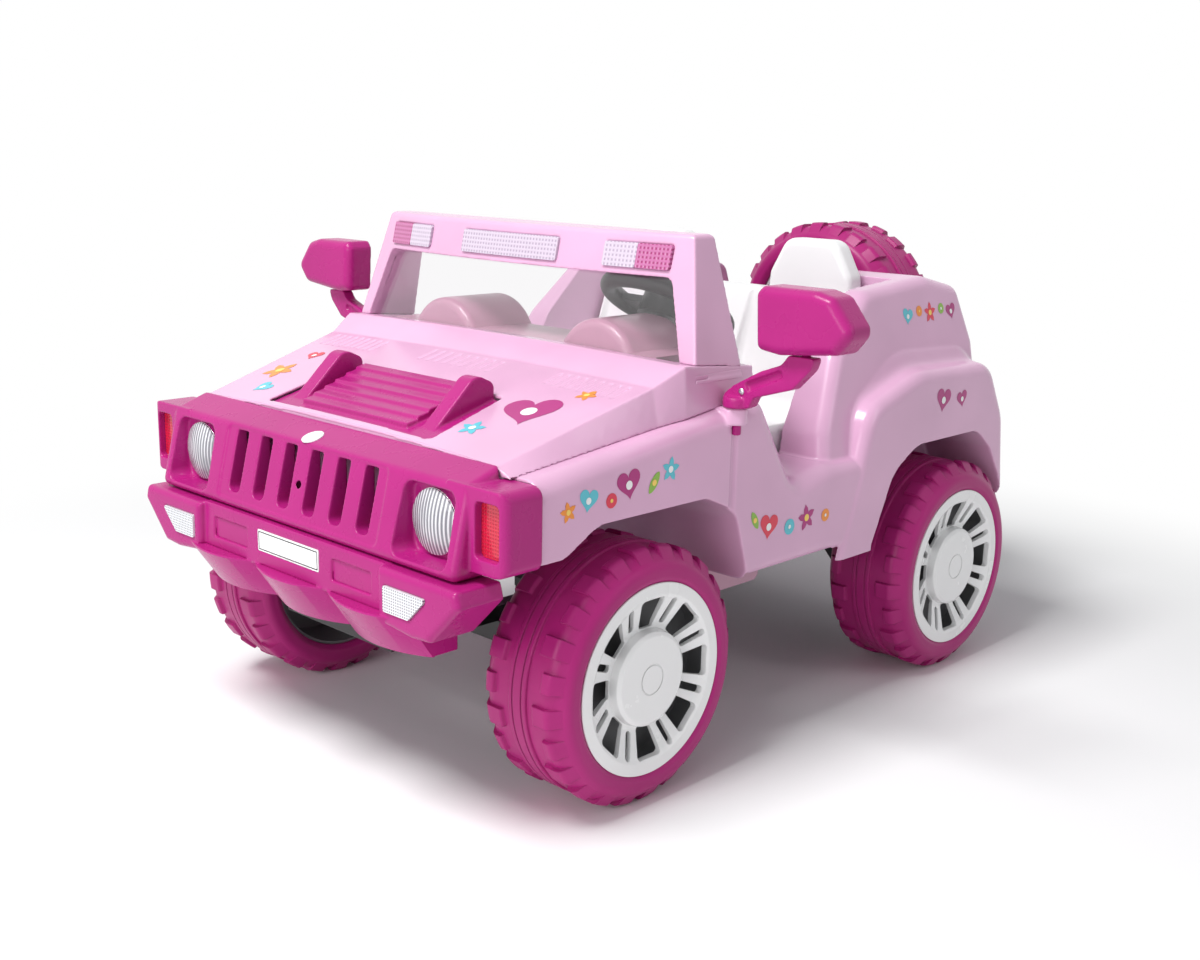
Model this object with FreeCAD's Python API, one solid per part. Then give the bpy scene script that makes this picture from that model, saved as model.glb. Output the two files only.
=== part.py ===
import FreeCAD, Part
import math
import os
from FreeCAD import Matrix, Placement, Rotation, Vector

# Electric two-seat ride-on car, millimetres.
# Drawn from the front axle: x is the car's left, y runs back from the axle, z up from the floor.
# The finished pieces are shifted together, so that the origin lies under the middle of the car.

# Overall layout
WHEELBASE = 708
FRONT_OVERHANG = 286
REAR_OVERHANG = 246
TRACK_X = 310
TYRE_RADIUS = 165
TYRE_WIDTH = 140

# Common walls and clearances
WALL = 4
RUN_FIT = 0.08
SEAT_GAP = 0.3
PLAY = 1.0

# Body sides
BODY_HALF = 364
FENDER_FRONT = -178
FENDER_LOW = 300
FENDER_TOP_FRONT = 436
FENDER_TOP_SLOPE = 0.134
FENDER_ROUND = 30
SILL_LOW = 243
SILL_DIP = 231
SILL_TOP_FRONT = 360
SILL_TOP_REAR = 376
DOOR_FRONT_TOP = 216
DOOR_FRONT_LOW = 295
DOOR_REAR_LOW = 370
DOOR_REAR_TOP = 520
FLARE_HALF = 366
FLARE_TOP = 478
FLARE_FRONT = 445
FLARE_BACK = 872
FLARE_EDGE = 20
FLARE_BLEND = 20
QUARTER_HALF = 302
QUARTER_TAPER = 0.19
QUARTER_TOP = 606
QUARTER_BACK = 812
QUARTER_ROUND = 20
ARCH_TOP = 372
COCKPIT_HALF = 268
COCKPIT_FRONT = 204
COCKPIT_BACK = 640
TRUNK_HALF = 165
TRUNK_BACK = 796
TRUNK_FLOOR = 420

# Bonnet and cowl
BONNET_HALF_TOP = 302
BONNET_HALF_LOW = 328
BONNET_FRONT = -188
BONNET_FRONT_Z = 454
BONNET_CROWN = 9
VENT_LINE = 42
VENT_LINE_Z = 517
COWL_LINE = 84
COWL_Z = 541
COWL_BACK = 216
COWL_BACK_Z = 530
SCOOP_HALF = 170
SCOOP_FRONT = -176
SCOOP_BACK = -52
SCOOP_DEEP = 10
SCOOP_RIDGE = 30
LOUVRE_COUNT = 6
LOUVRE_RISE = 2.2
VENT_COUNT = 9

# Windscreen frame
FRAME_BASE_HALF = 345
FRAME_TOP_HALF = 302
FRAME_TOP_Z = 691
FRAME_BASE_Z = 512
FRAME_BASE_FRONT = 70
FRAME_BASE_BACK = 194
FRAME_TOP_FRONT = 108
FRAME_TOP_BACK = 176
FRAME_BOW = 30
FRAME_ROUND = 8
GLASS_HALF_LOW = 313
GLASS_HALF_TOP = 281
GLASS_TOP_Z = 637
GLASS_SETBACK = 9
GLASS_THICK = 2.5
LAMP_LOW = 646
LAMP_TOP = 677
LAMP_MID_HALF = 95
LAMP_SIDE_IN = 174
LAMP_SIDE_SPLIT = 226
LAMP_SIDE_OUT = 277
LAMP_PROUD = 2.5
LAMP_DEEP = 3

# Grille panel with headlamps and marker boxes
GRILLE_HALF = 312
GRILLE_TOP_Z = 448
GRILLE_EDGE_Y = -236
GRILLE_EDGE_Z = 431
GRILLE_LOW_Y = -262
GRILLE_LOW_Z = 324
GRILLE_ROUND = 10
SLOT_COUNT = 6
SLOT_PITCH = 55
SLOT_WIDE = 25
SLOT_LOW = 345
SLOT_HIGH = 424
HEADLAMP_X = 247
HEADLAMP_Z = 379
HEADLAMP_RADIUS = 39
HEADLAMP_FACE = -226
LAMP_POCKET_WIDE = 104
LAMP_POCKET_TALL = 92
MARKER_HALF = 368
MARKER_FRONT = -236
MARKER_BACK = -178
MARKER_LOW = 336
MARKER_TOP = 433
MARKER_ROUND = 13

# Front bumper
BUMPER_HALF = 196
BUMPER_FACE = -264
BUMPER_TOP = GRILLE_LOW_Z
BUMPER_LEDGE = 266
BUMPER_BACK = -190
PLATE_HALF = 66
PLATE_LOW = 284
PLATE_HIGH = 312
PLATE_THICK = 2
SKID_LOW = 212
SKID_HALF = 236
SKID_BULGES = 3
FOG_IN = 192
FOG_OUT = 336
FOG_LOW = 250
FOG_FACE = -274
FOG_ROUND = 8

# Wheels
TREAD_DEEP = 5
LUG_COUNT = 24
LUG_ANGLE = 8.5
LUG_LONG = 46
LUG_SHORT = 34
RIB_HALF = 15
RIB_RISE = 3
BEAD_RADIUS = 119
RIM_RADIUS = 122
TYRE_WALL = 6
DRUM_WALL = 4
WEB_AT = 92
HUB_RADIUS = 20
HUB_END = 114
SPOKE_PAIRS = 8
DISC_RADIUS = 60
SPOKE_DIP = 15
SPOKE_THICK = 5
SLOT_HALF = 4.8
WINDOW_HALF_ANGLE = 12
AXLE_RADIUS = 7
NUT_LENGTH = 9

# Chassis and steering
RAIL_X = 100
RAIL_WIDE = 25
RAIL_LOW = 176
RAIL_HIGH = 196
RAIL_WALL = 2
BEAM_DEEP = 30
BEAM_LOW = 146
KINGPIN_X = 212
KINGPIN_RADIUS = 5
LUG_PLATE = 6
KNUCKLE_RADIUS = 13
STEER_ARM = 70
CRANK_ARM = 45
TIE_LOW = 148
TIE_THICK = 9
TIE_WIDE = 14
PIN_RADIUS = 5
COLUMN_X = 155
COLUMN_RADIUS = 7
BRACKET_RISE = 14
BRACKET_THICK = 12
WHEEL_Y = 258
WHEEL_Z = 582
STEERING_RADIUS = 98
STEERING_RIM = 13
BUTTON_RADIUS = 24
BUTTON_TRAVEL = 3

# Cabin
FLOOR_LOW = 196
TUB_TOP = 300
SHELF_FRONT = 345
SHELF_Z = 345
SEAT_X = 152
SEAT_HALF = 112
SEAT_CUSHION = 402
SEAT_BACK_TOP = 582
HEADREST_TOP = 662
HEADREST_HALF = 80
DASH_BACK = 240
DASH_TOP = 536
HUMP_RADIUS = 74
PEDAL_X = 92
PEDAL_WIDE = 62
PEDAL_LONG = 84
PEDAL_HINGE_Y = 268
PEDAL_HINGE_Z = 212
PEDAL_PIN = 4
PEDAL_LEAN = 68
LEVER_Y = 288
LEVER_Z = 236
LEVER_TOP = 352
LEVER_PIN = 4

# Drive
GEAR_IN = 180
GEAR_OUT = 232
GEAR_BIG = 54
GEAR_SMALL = 36
MOTOR_RADIUS = 26
MOTOR_LONG = 72
MOTOR_Y = -86
MOTOR_Z = 66
BATTERY_HALF = 75
BATTERY_FRONT = 398
BATTERY_LONG = 96
BATTERY_TALL = 94
TRAY_THICK = 3
STRAP_WIDE = 26
STRAP_THICK = 2

# Tail
TAIL_HALF = 332
TAIL_BACK = 886
TAIL_LOW = 246
TAIL_TOP = 404
SPARE_Z = 508
SPARE_ROOM = 7

# Mirrors
MIRROR_PIVOT_X = 366
MIRROR_PIVOT_Y = 157
MIRROR_FOOT_Z = 482
MIRROR_PIN = 6
MIRROR_ARM_THICK = 18
HEAD_PIVOT_X = 466
HEAD_LOW = 557
HEAD_TOP = 638
HEAD_IN = 404
HEAD_OUT = 547
HEAD_DEEP = 46
HEAD_PIN = 5
MIRROR_SEAT = 3

UP = Vector(0, 0, 1)
LEFT = Vector(1, 0, 0)
BACK = Vector(0, 1, 0)
MIDDLE_Y = (WHEELBASE + REAR_OVERHANG - FRONT_OVERHANG) / 2


# Drawing helpers
def on_yz(a, b, level):
    return Vector(level, a, b)


def on_xz(a, b, level):
    return Vector(a, level, b)


def on_xy(a, b, level):
    return Vector(a, b, level)


def box(x0, x1, y0, y1, z0, z1):
    return Part.makeBox(x1 - x0, y1 - y0, z1 - z0, Vector(x0, y0, z0))


def rod(start, end, radius):
    way = end - start
    return Part.makeCylinder(radius, way.Length, start, way)


def mirrored(shape):
    return shape.mirror(Vector(), LEFT)


def both(shape):
    return Part.makeCompound([shape, mirrored(shape)])


def outline(points, radii, put, level):
    """Closed wire through the points, with an arc of its own radius at each corner."""
    if not isinstance(radii, (list, tuple)):
        radii = [radii] * len(points)
    corners = []
    for i, radius in enumerate(radii):
        here = Vector(*points[i], 0)
        before = (Vector(*points[i - 1], 0) - here).normalize()
        after = (Vector(*points[(i + 1) % len(points)], 0) - here).normalize()
        half = before.getAngle(after) / 2
        middle = (before + after).normalize()
        reach = radius / math.tan(half)
        bulge = radius / math.sin(half) - radius
        corners.append((here + before * reach, here + middle * bulge, here + after * reach))
    edges = []
    for i, (start, top, end) in enumerate(corners):
        came = put(*corners[i - 1][2][:2], level)
        first, peak, last = (put(p.x, p.y, level) for p in (start, top, end))
        if came.distanceToPoint(first) > 1e-6:
            edges.append(Part.makeLine(came, first))
        if radii[i] > 0:
            edges.append(Part.Arc(first, peak, last).toShape())
    return Part.Wire(edges)


def prism(points, radii, put, start, end):
    """Outline drawn in one plane and pushed square to it, from one level to another."""
    face = Part.Face(outline(points, radii, put, start))
    return face.extrude(put(0, 0, end - start))


def inset(points, moves):
    """Anticlockwise outline with side i, from point i to the next, moved inwards by moves[i]."""
    sides = []
    for i, (a, b) in enumerate(points):
        c, d = points[(i + 1) % len(points)]
        length = math.hypot(c - a, d - b)
        nx = (b - d) / length
        ny = (c - a) / length
        sides.append((nx, ny, nx * a + ny * b + moves[i]))
    moved = []
    for i, (nx, ny, far) in enumerate(sides):
        mx, my, before = sides[i - 1]
        det = mx * ny - my * nx
        moved.append(((before * ny - my * far) / det, (mx * far - before * nx) / det))
    return moved


def soften(shape, radius, wanted):
    """Round every edge whose bounding box answers the question."""
    return shape.makeFillet(radius, [edge for edge in shape.Edges if wanted(edge.BoundBox)])


def turned(points, radii, angle=360):
    """Outline of (along, radius) points turned about the x axis."""
    return Part.Face(outline(points, radii, on_xy, 0)).revolve(Vector(), LEFT, angle)


def fused(shapes):
    return shapes[0].multiFuse(shapes[1:]).removeSplitter()


# Body shell
def crest(y):
    """Height of the line where the bonnet meets the fenders."""
    return FENDER_TOP_FRONT + FENDER_TOP_SLOPE * (y - FENDER_FRONT)


def block(points, radii, half, corner, wall, moves):
    """Block across the car with soft outer ends; its inner face is the same block moved in by the wall."""
    radii = [max(radius - wall, 0) for radius in radii]
    solid = prism(inset(points, moves), radii, on_yz, wall - half, half - wall)
    end = half - wall
    return soften(solid, corner - wall, lambda b: b.XLength < 1e-6 and abs(abs(b.XMin) - end) < 1e-6)


def side_block(wall):
    lead = 60
    tail = 100
    points = [
        (FENDER_FRONT - lead, FENDER_LOW),
        (COCKPIT_FRONT, SILL_LOW),
        (DOOR_REAR_LOW, SILL_LOW),
        (DOOR_REAR_LOW + tail, SILL_DIP + 3),
        (DOOR_REAR_LOW + tail, SILL_TOP_REAR),
        (DOOR_REAR_LOW, SILL_TOP_REAR),
        (DOOR_FRONT_LOW, SILL_TOP_FRONT),
        (DOOR_FRONT_TOP, crest(DOOR_FRONT_TOP)),
        (FENDER_FRONT - lead, crest(FENDER_FRONT - lead)),
    ]
    radii = [0, 0, 0, 0, 0, 0, FENDER_ROUND, FENDER_ROUND, 0]
    opened = -lead if wall else 0
    moves = [opened, opened, opened, wall, wall, wall, wall, wall, opened]
    return block(points, radii, BODY_HALF, FENDER_ROUND - 6, wall, moves)


def flare_section(depth, moved, wall):
    """Outline of the rear flare at a depth in from its outer face, moved in or, if negative, out."""
    points = [
        (DOOR_REAR_LOW + 22, SILL_DIP),
        (FLARE_BACK, SILL_DIP),
        (FLARE_BACK - 24, FLARE_TOP - 88),
        (FLARE_BACK - 76, FLARE_TOP),
        (DOOR_REAR_LOW + 220, FLARE_TOP + 6),
        (DOOR_REAR_LOW + 92, FLARE_TOP - 34),
        (DOOR_REAR_LOW + 68, SILL_TOP_REAR - 10),
    ]
    opened = -50 if wall else 0
    back = max(moved, 0) + wall
    moves = [opened, back, back] + [moved + wall] * 4
    radii = [0, 0] + [radius - moved - wall for radius in (70, 50, 150, 60, 60)]
    return outline(inset(points, moves), radii, on_yz, FLARE_HALF - wall - depth)


def flare_block(wall):
    """Flare with a round edge that runs out in a hollow blend on the quarter's side."""
    sections = []
    for angle in (0, 30, 60, 90):
        turn = math.radians(angle)
        sections.append(flare_section(FLARE_EDGE * (1 - math.cos(turn)), FLARE_EDGE * (1 - math.sin(turn)),
                                      wall))
    for angle in (45, 75):
        turn = math.radians(angle)
        depth = FLARE_EDGE + FLARE_BLEND * math.sin(turn)
        sections.append(flare_section(depth, FLARE_BLEND * (math.cos(turn) - 1), wall))
    root = FLARE_EDGE + 2 * FLARE_BLEND
    sections.append(flare_section(root, -FLARE_BLEND, wall))
    flank = Part.makeLoft(sections, True, False)
    core = Part.Face(sections[-1]).extrude(LEFT * (-2 * (FLARE_HALF - wall - root)))
    return flank.multiFuse([mirrored(flank), core])


def quarter_half(z):
    """Half-width of the rear quarters, which lean in towards the top."""
    return QUARTER_HALF + QUARTER_TAPER * (QUARTER_TOP - z)


def quarter_block(wall):
    low = SILL_TOP_REAR - 40
    points = [
        (DOOR_REAR_LOW + 4, low),
        (QUARTER_BACK, low),
        (QUARTER_BACK, FLARE_TOP + 26),
        (QUARTER_BACK - 34, QUARTER_TOP - 14),
        (DOOR_REAR_TOP + 168, QUARTER_TOP + 6),
        (DOOR_REAR_TOP, QUARTER_TOP - 8),
        (DOOR_REAR_LOW + 66, FLARE_TOP + 40),
        (DOOR_REAR_LOW + 14, SILL_TOP_REAR + 32),
    ]
    radii = [max(radius - wall, 0) for radius in (0, 0, 0, 26, 60, 40, 60, 30)]
    opened = -60 if wall else 0
    solid = prism(inset(points, [opened] + [wall] * 7), radii, on_yz, -BODY_HALF, BODY_HALF)
    moved = wall * math.hypot(1, QUARTER_TAPER)
    top = 2 * QUARTER_TOP
    side = [(quarter_half(0) - moved, 0), (2 * BODY_HALF, 0), (2 * BODY_HALF, top),
            (quarter_half(top) - moved, top)]
    beyond = prism(side, 0, on_xz, 0, 2 * QUARTER_BACK)
    solid = solid.cut([beyond, mirrored(beyond)])
    rims = []
    for edge in solid.Edges:
        on_side = all(abs(abs(end.X) - quarter_half(end.Z) + moved) < 1e-3 for end in edge.Vertexes)
        if on_side and edge.BoundBox.ZMax > low:
            rims.append(edge)
    return solid.makeFillet(QUARTER_ROUND - wall, rims)


def body_form(wall):
    return side_block(wall).multiFuse([flare_block(wall), quarter_block(wall)])


def cockpit_space(grow):
    cabin = box(-COCKPIT_HALF - grow, COCKPIT_HALF + grow,
                COCKPIT_FRONT - grow, COCKPIT_BACK + grow, 0, 2 * FRAME_TOP_Z)
    trunk = box(-TRUNK_HALF - grow, TRUNK_HALF + grow,
                COCKPIT_BACK - 2 * WALL, TRUNK_BACK + grow, TRUNK_FLOOR - grow, 2 * FRAME_TOP_Z)
    return cabin.multiFuse([trunk, spare_space(grow)])


def spare_space(grow):
    """Well behind the tail wall that the spare wheel hangs in."""
    half = TYRE_RADIUS + SPARE_ROOM + grow
    low = SPARE_Z - TYRE_RADIUS - SPARE_ROOM - grow
    return box(-half, half, QUARTER_BACK - grow, 2 * QUARTER_BACK, low, 2 * FRAME_TOP_Z)


def arch_spaces(grow):
    """Room round the wheels; grown by the wall it shapes the liners."""
    ahead = FENDER_FRONT - 100
    front = [
        (ahead, 0), (COCKPIT_FRONT, 0), (COCKPIT_FRONT - 4, SILL_LOW - 3),
        (COCKPIT_FRONT - 38, ARCH_TOP - 26),
        (COCKPIT_FRONT - 98, ARCH_TOP), (FENDER_FRONT + 94, ARCH_TOP), (FENDER_FRONT + 38, ARCH_TOP - 31),
        (ahead, ARCH_TOP - 31),
    ]
    radii = [0, 0, 0, 50 + grow, 60 + grow, 60 + grow, 30 + grow, 0]
    first = prism(inset(front, [-grow] * 8), radii, on_yz, -2 * BODY_HALF, 2 * BODY_HALF)
    rear = [
        (WHEELBASE - 226, 0), (WHEELBASE + 174, 0), (WHEELBASE + 174, SILL_DIP),
        (WHEELBASE + 98, ARCH_TOP - 32),
        (WHEELBASE + 54, ARCH_TOP + 2), (WHEELBASE - 118, ARCH_TOP + 2), (WHEELBASE - 178, ARCH_TOP - 32),
        (WHEELBASE - 226, SILL_DIP + 7),
    ]
    radii = [0, 0, 0, 50 + grow, 60 + grow, 90 + grow, 60 + grow, 20 + grow]
    inner = TRACK_X - TYRE_WIDTH / 2 - grow
    second = prism(inset(rear, [-grow] * 8), radii, on_yz, inner, 2 * BODY_HALF)
    return [first, second, mirrored(second)]


def mirror_bracket():
    low = MIRROR_FOOT_Z - SEAT_GAP - 22
    inner = FRAME_BASE_HALF + SEAT_GAP
    points = [
        (inner, MIRROR_PIVOT_Y - 17), (MIRROR_PIVOT_X, MIRROR_PIVOT_Y - 17),
        (MIRROR_PIVOT_X + 20, MIRROR_PIVOT_Y), (MIRROR_PIVOT_X, MIRROR_PIVOT_Y + 17),
        (inner, MIRROR_PIVOT_Y + 17),
    ]
    return prism(points, [0, 12, 12, 12, 0], on_xy, low, MIRROR_FOOT_Z - SEAT_GAP)


def body_shell():
    skin = body_form(0).cut(cockpit_space(0))
    hollow = body_form(WALL).cut([cockpit_space(WALL)] + arch_spaces(WALL))
    under_bonnet = box(-BONNET_HALF_TOP + 4, BONNET_HALF_TOP - 4, 2 * FENDER_FRONT,
                       COCKPIT_FRONT - WALL - 1, ARCH_TOP, FRAME_TOP_Z)
    nose = box(-2 * BODY_HALF, 2 * BODY_HALF, 3 * FENDER_FRONT, FENDER_FRONT, 0, FRAME_TOP_Z)
    drive_room = box(-COCKPIT_HALF, COCKPIT_HALF, COCKPIT_BACK - PLAY, COCKPIT_BACK + WALL + PLAY, 0,
                     SHELF_Z - 40)
    shell = skin.cut(hollow).cut([under_bonnet, nose, drive_room] + arch_spaces(0))
    bracket = mirror_bracket().cut(hollow)
    shell = shell.multiFuse([bracket, mirrored(bracket)])
    foot = Vector(MIRROR_PIVOT_X, MIRROR_PIVOT_Y, 0)
    pin_hole = rod(foot, foot + UP * FRAME_TOP_Z, MIRROR_PIN + RUN_FIT)
    low, high = column_ends()
    column_hole = rod(low, high, COLUMN_RADIUS + 4 * PLAY)
    return shell.cut([pin_hole, mirrored(pin_hole), column_hole])


# Bonnet, scoop and windscreen
def bonnet_form(wall):
    """Raised bonnet and cowl: four cross-sections joined by straight lines, resting on the fenders."""
    stations = [
        (BONNET_FRONT, BONNET_FRONT_Z, BONNET_CROWN, BONNET_HALF_TOP, BONNET_HALF_LOW - 2),
        (VENT_LINE, VENT_LINE_Z, BONNET_CROWN / 2, BONNET_HALF_TOP + 24, BONNET_HALF_LOW + 10),
        (COWL_LINE, COWL_Z, BONNET_CROWN / 2, FRAME_BASE_HALF - 4, FRAME_BASE_HALF),
        (COWL_BACK, COWL_BACK_Z, BONNET_CROWN / 2, FRAME_BASE_HALF - 4, FRAME_BASE_HALF),
    ]
    wires = []
    for y, top, crown, half_top, half_low in stations:
        low = crest(y) - (60 if wall else 0)
        shoulder = top - crown - wall
        a = Vector(-half_low + wall, y, low)
        b = Vector(-half_top + wall, y, shoulder)
        c = Vector(0, y, top - wall)
        d = Vector(half_top - wall, y, shoulder)
        e = Vector(half_low - wall, y, low)
        edges = [Part.makeLine(a, b), Part.Arc(b, c, d).toShape(), Part.makeLine(d, e), Part.makeLine(e, a)]
        wires.append(Part.Wire(edges))
    return Part.makeLoft(wires, True, True)


def scoop_outline(gap):
    return [
        (-SCOOP_HALF - gap, SCOOP_FRONT - gap), (SCOOP_HALF + gap, SCOOP_FRONT - gap),
        (SCOOP_HALF - 8 + gap, SCOOP_BACK + gap), (-SCOOP_HALF + 8 - gap, SCOOP_BACK + gap),
    ]


def bonnet_height(y):
    slope = (VENT_LINE_Z - BONNET_FRONT_Z) / (VENT_LINE - BONNET_FRONT)
    return BONNET_FRONT_Z + slope * (y - BONNET_FRONT)


def bonnet():
    cabin_side = box(-BONNET_HALF_TOP, BONNET_HALF_TOP, COWL_LINE + 26, 2 * COWL_BACK, 0, FRAME_TOP_Z)
    skin = bonnet_form(0).cut(bonnet_form(WALL)).cut(cabin_side)
    recess = prism(scoop_outline(SEAT_GAP), 8, on_xy, ARCH_TOP, FRAME_TOP_Z)
    skin = skin.cut(recess)
    vents = []
    for middle, half in ((0, 78), (-238, 66), (238, 66)):
        for i in range(VENT_COUNT):
            x = middle - half + 2 * half * (i + 0.5) / VENT_COUNT
            vents.append(box(x - 2.5, x + 2.5, VENT_LINE - 42, VENT_LINE - 8, VENT_LINE_Z - 40, FRAME_TOP_Z))
    shallow = bonnet_form(0).cut(bonnet_form(WALL / 2))
    return skin.cut([slot.common(shallow) for slot in vents])


def bonnet_scoop():
    """Sunken tray in the bonnet with two tapering side ridges and a stepped louvre between them."""
    rim = prism(scoop_outline(0), 8, on_xy, ARCH_TOP, FRAME_TOP_Z)
    tray = rim.common(bonnet_form(SCOOP_DEEP / 2)).cut(bonnet_form(SCOOP_DEEP / 2 + WALL))
    front = SCOOP_FRONT + 14
    back = SCOOP_BACK - 6
    step = (back - front) / LOUVRE_COUNT
    sunk = SCOOP_DEEP + 2
    steps = [(back, bonnet_height(back) - sunk), (front, bonnet_height(front) - sunk)]
    for i in range(LOUVRE_COUNT):
        y = front + i * step
        top = bonnet_height(y) + 1 + LOUVRE_RISE * i
        steps += [(y, top), (y + step - 1, top + 3)]
    half = SCOOP_HALF - 60
    louvre = prism(steps[::-1], 0, on_yz, -half, half)
    low_end = bonnet_height(front) - sunk
    high_end = bonnet_height(back) + SCOOP_RIDGE
    ridge_points = [(front, low_end), (back + 4, bonnet_height(back) - sunk), (back + 4, high_end - 14),
                    (back - 26, high_end), (front + 20, low_end + 16)]
    ridge = prism(ridge_points, [0, 0, 10, 20, 8], on_yz, SCOOP_HALF - 48, SCOOP_HALF - 22)
    return tray.multiFuse([louvre, ridge, mirrored(ridge)])


def frame_form(wall):
    """Windscreen frame block: bowed at the front, leaning back and narrower at the top."""
    wires = []
    for half, front, back, z in ((FRAME_BASE_HALF, FRAME_BASE_FRONT, FRAME_BASE_BACK, FRAME_BASE_Z),
                                 (FRAME_TOP_HALF, FRAME_TOP_FRONT, FRAME_TOP_BACK, FRAME_TOP_Z - wall)):
        a = Vector(-half + wall, front + FRAME_BOW + wall, z)
        b = Vector(0, front + wall, z)
        c = Vector(half - wall, front + FRAME_BOW + wall, z)
        d = Vector(half - wall, back - wall, z)
        e = Vector(-half + wall, back - wall, z)
        edges = [Part.Arc(a, b, c).toShape(), Part.makeLine(c, d), Part.makeLine(d, e), Part.makeLine(e, a)]
        wires.append(Part.Wire(edges))
    return Part.makeLoft(wires, True, True)


def glass_opening(grow):
    low = FRAME_BASE_Z - 10
    slope = (GLASS_HALF_LOW - GLASS_HALF_TOP) / (GLASS_TOP_Z - COWL_Z)
    half_low = GLASS_HALF_LOW + slope * (COWL_Z - low) + grow
    half_top = GLASS_HALF_TOP + grow
    points = [(-half_low, low), (half_low, low), (half_top, GLASS_TOP_Z + grow),
              (-half_top, GLASS_TOP_Z + grow)]
    return prism(points, [0, 0, 14, 14], on_xz, -FRAME_TOP_Z, FRAME_TOP_Z)


def lamp_prism(x0, x1):
    points = [(x0, LAMP_LOW), (x1, LAMP_LOW), (x1, LAMP_TOP), (x0, LAMP_TOP)]
    return prism(points, 3, on_xz, 0, FRAME_TOP_BACK - 16)


def windscreen_frame():
    outside = soften(frame_form(0), FRAME_ROUND, lambda b: b.ZMin > FRAME_TOP_Z - 1)
    shell = outside.cut(glass_opening(0)).cut(frame_form(WALL).cut(glass_opening(WALL)))
    lamp_seat = frame_form(-LAMP_PROUD).cut(frame_form(LAMP_DEEP))
    seats = [lamp_prism(-LAMP_MID_HALF, LAMP_MID_HALF), lamp_prism(LAMP_SIDE_IN, LAMP_SIDE_OUT),
             lamp_prism(-LAMP_SIDE_OUT, -LAMP_SIDE_IN)]
    shell = shell.cut([seat.common(lamp_seat) for seat in seats])
    return shell.cut(bonnet_form(0))


def windscreen():
    sheet = frame_form(GLASS_SETBACK).cut(frame_form(GLASS_SETBACK + GLASS_THICK))
    front_half = box(-BODY_HALF, BODY_HALF, 0, (FRAME_TOP_BACK + FRAME_TOP_FRONT) / 2 + FRAME_BOW / 2, 0,
                     FRAME_TOP_Z)
    return sheet.common(glass_opening(0)).common(front_half).cut(bonnet_form(0))


def roof_lamps(spans):
    layer = frame_form(-LAMP_PROUD).cut(frame_form(LAMP_DEEP))
    return Part.makeCompound([lamp_prism(x0, x1).common(layer) for x0, x1 in spans])


def roof_lamps_clear():
    return roof_lamps([(-LAMP_MID_HALF, LAMP_MID_HALF), (LAMP_SIDE_IN, LAMP_SIDE_SPLIT - 0.1),
                       (0.1 - LAMP_SIDE_SPLIT, -LAMP_SIDE_IN)])


def roof_lamps_pink():
    return roof_lamps([(LAMP_SIDE_SPLIT, LAMP_SIDE_OUT), (-LAMP_SIDE_OUT, -LAMP_SIDE_SPLIT)])


# Grille panel with headlamps and marker boxes
def marker_box(wall):
    solid = box(GRILLE_HALF - 3 * MARKER_ROUND, MARKER_HALF - wall, MARKER_FRONT + wall,
                MARKER_BACK + (30 if wall else 0), MARKER_LOW + wall, MARKER_TOP - wall)
    outer = MARKER_HALF - wall
    return soften(solid, MARKER_ROUND - wall,
                  lambda b: b.YMin < MARKER_BACK - 1 and b.XMax > outer - 1 and b.ZLength + b.YLength > 1)


def panel_form(wall):
    points = [(GRILLE_LOW_Y, GRILLE_LOW_Z), (BONNET_FRONT, GRILLE_LOW_Z), (BONNET_FRONT, GRILLE_TOP_Z),
              (GRILLE_EDGE_Y, GRILLE_EDGE_Z)]
    opened = -30 if wall else 0
    moves = [wall, opened, wall, wall]
    return block(points, [GRILLE_ROUND, 0, 0, GRILLE_ROUND], GRILLE_HALF, GRILLE_ROUND, wall, moves)


def lamp_pocket(grow):
    """Tapering pocket round one headlamp."""
    wires = []
    for y, shrink in ((GRILLE_LOW_Y - 10, 0), (HEADLAMP_FACE + grow, 9)):
        wide = LAMP_POCKET_WIDE / 2 - shrink + grow
        tall = LAMP_POCKET_TALL / 2 - shrink / 2 + grow
        points = [(HEADLAMP_X - wide, HEADLAMP_Z - tall), (HEADLAMP_X + wide, HEADLAMP_Z - tall),
                  (HEADLAMP_X + wide, HEADLAMP_Z + tall), (HEADLAMP_X - wide, HEADLAMP_Z + tall)]
        wires.append(outline(points, 14, on_xz, y))
    return Part.makeLoft(wires, True, True)


def marker_pocket(grow):
    points = [(GRILLE_HALF + 8 - grow, MARKER_LOW + 17 - grow),
              (MARKER_HALF - 10 + grow, MARKER_LOW + 17 - grow),
              (MARKER_HALF - 10 + grow, MARKER_TOP - 15 + grow),
              (GRILLE_HALF + 8 - grow, MARKER_TOP - 15 + grow)]
    return prism(points, 7, on_xz, MARKER_FRONT - 10, MARKER_FRONT + 18 + grow)


def grille_slots(grow, back):
    slots = []
    wide = SLOT_WIDE / 2 + grow
    for i in range(SLOT_COUNT):
        x = (i - (SLOT_COUNT - 1) / 2) * SLOT_PITCH
        points = [(x - wide, SLOT_LOW - grow), (x + wide, SLOT_LOW - grow),
                  (x + wide, SLOT_HIGH + grow), (x - wide, SLOT_HIGH + grow)]
        slots.append(prism(points, [9, 9, 3, 3], on_xz, GRILLE_LOW_Y - 10, back))
    return slots


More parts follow.
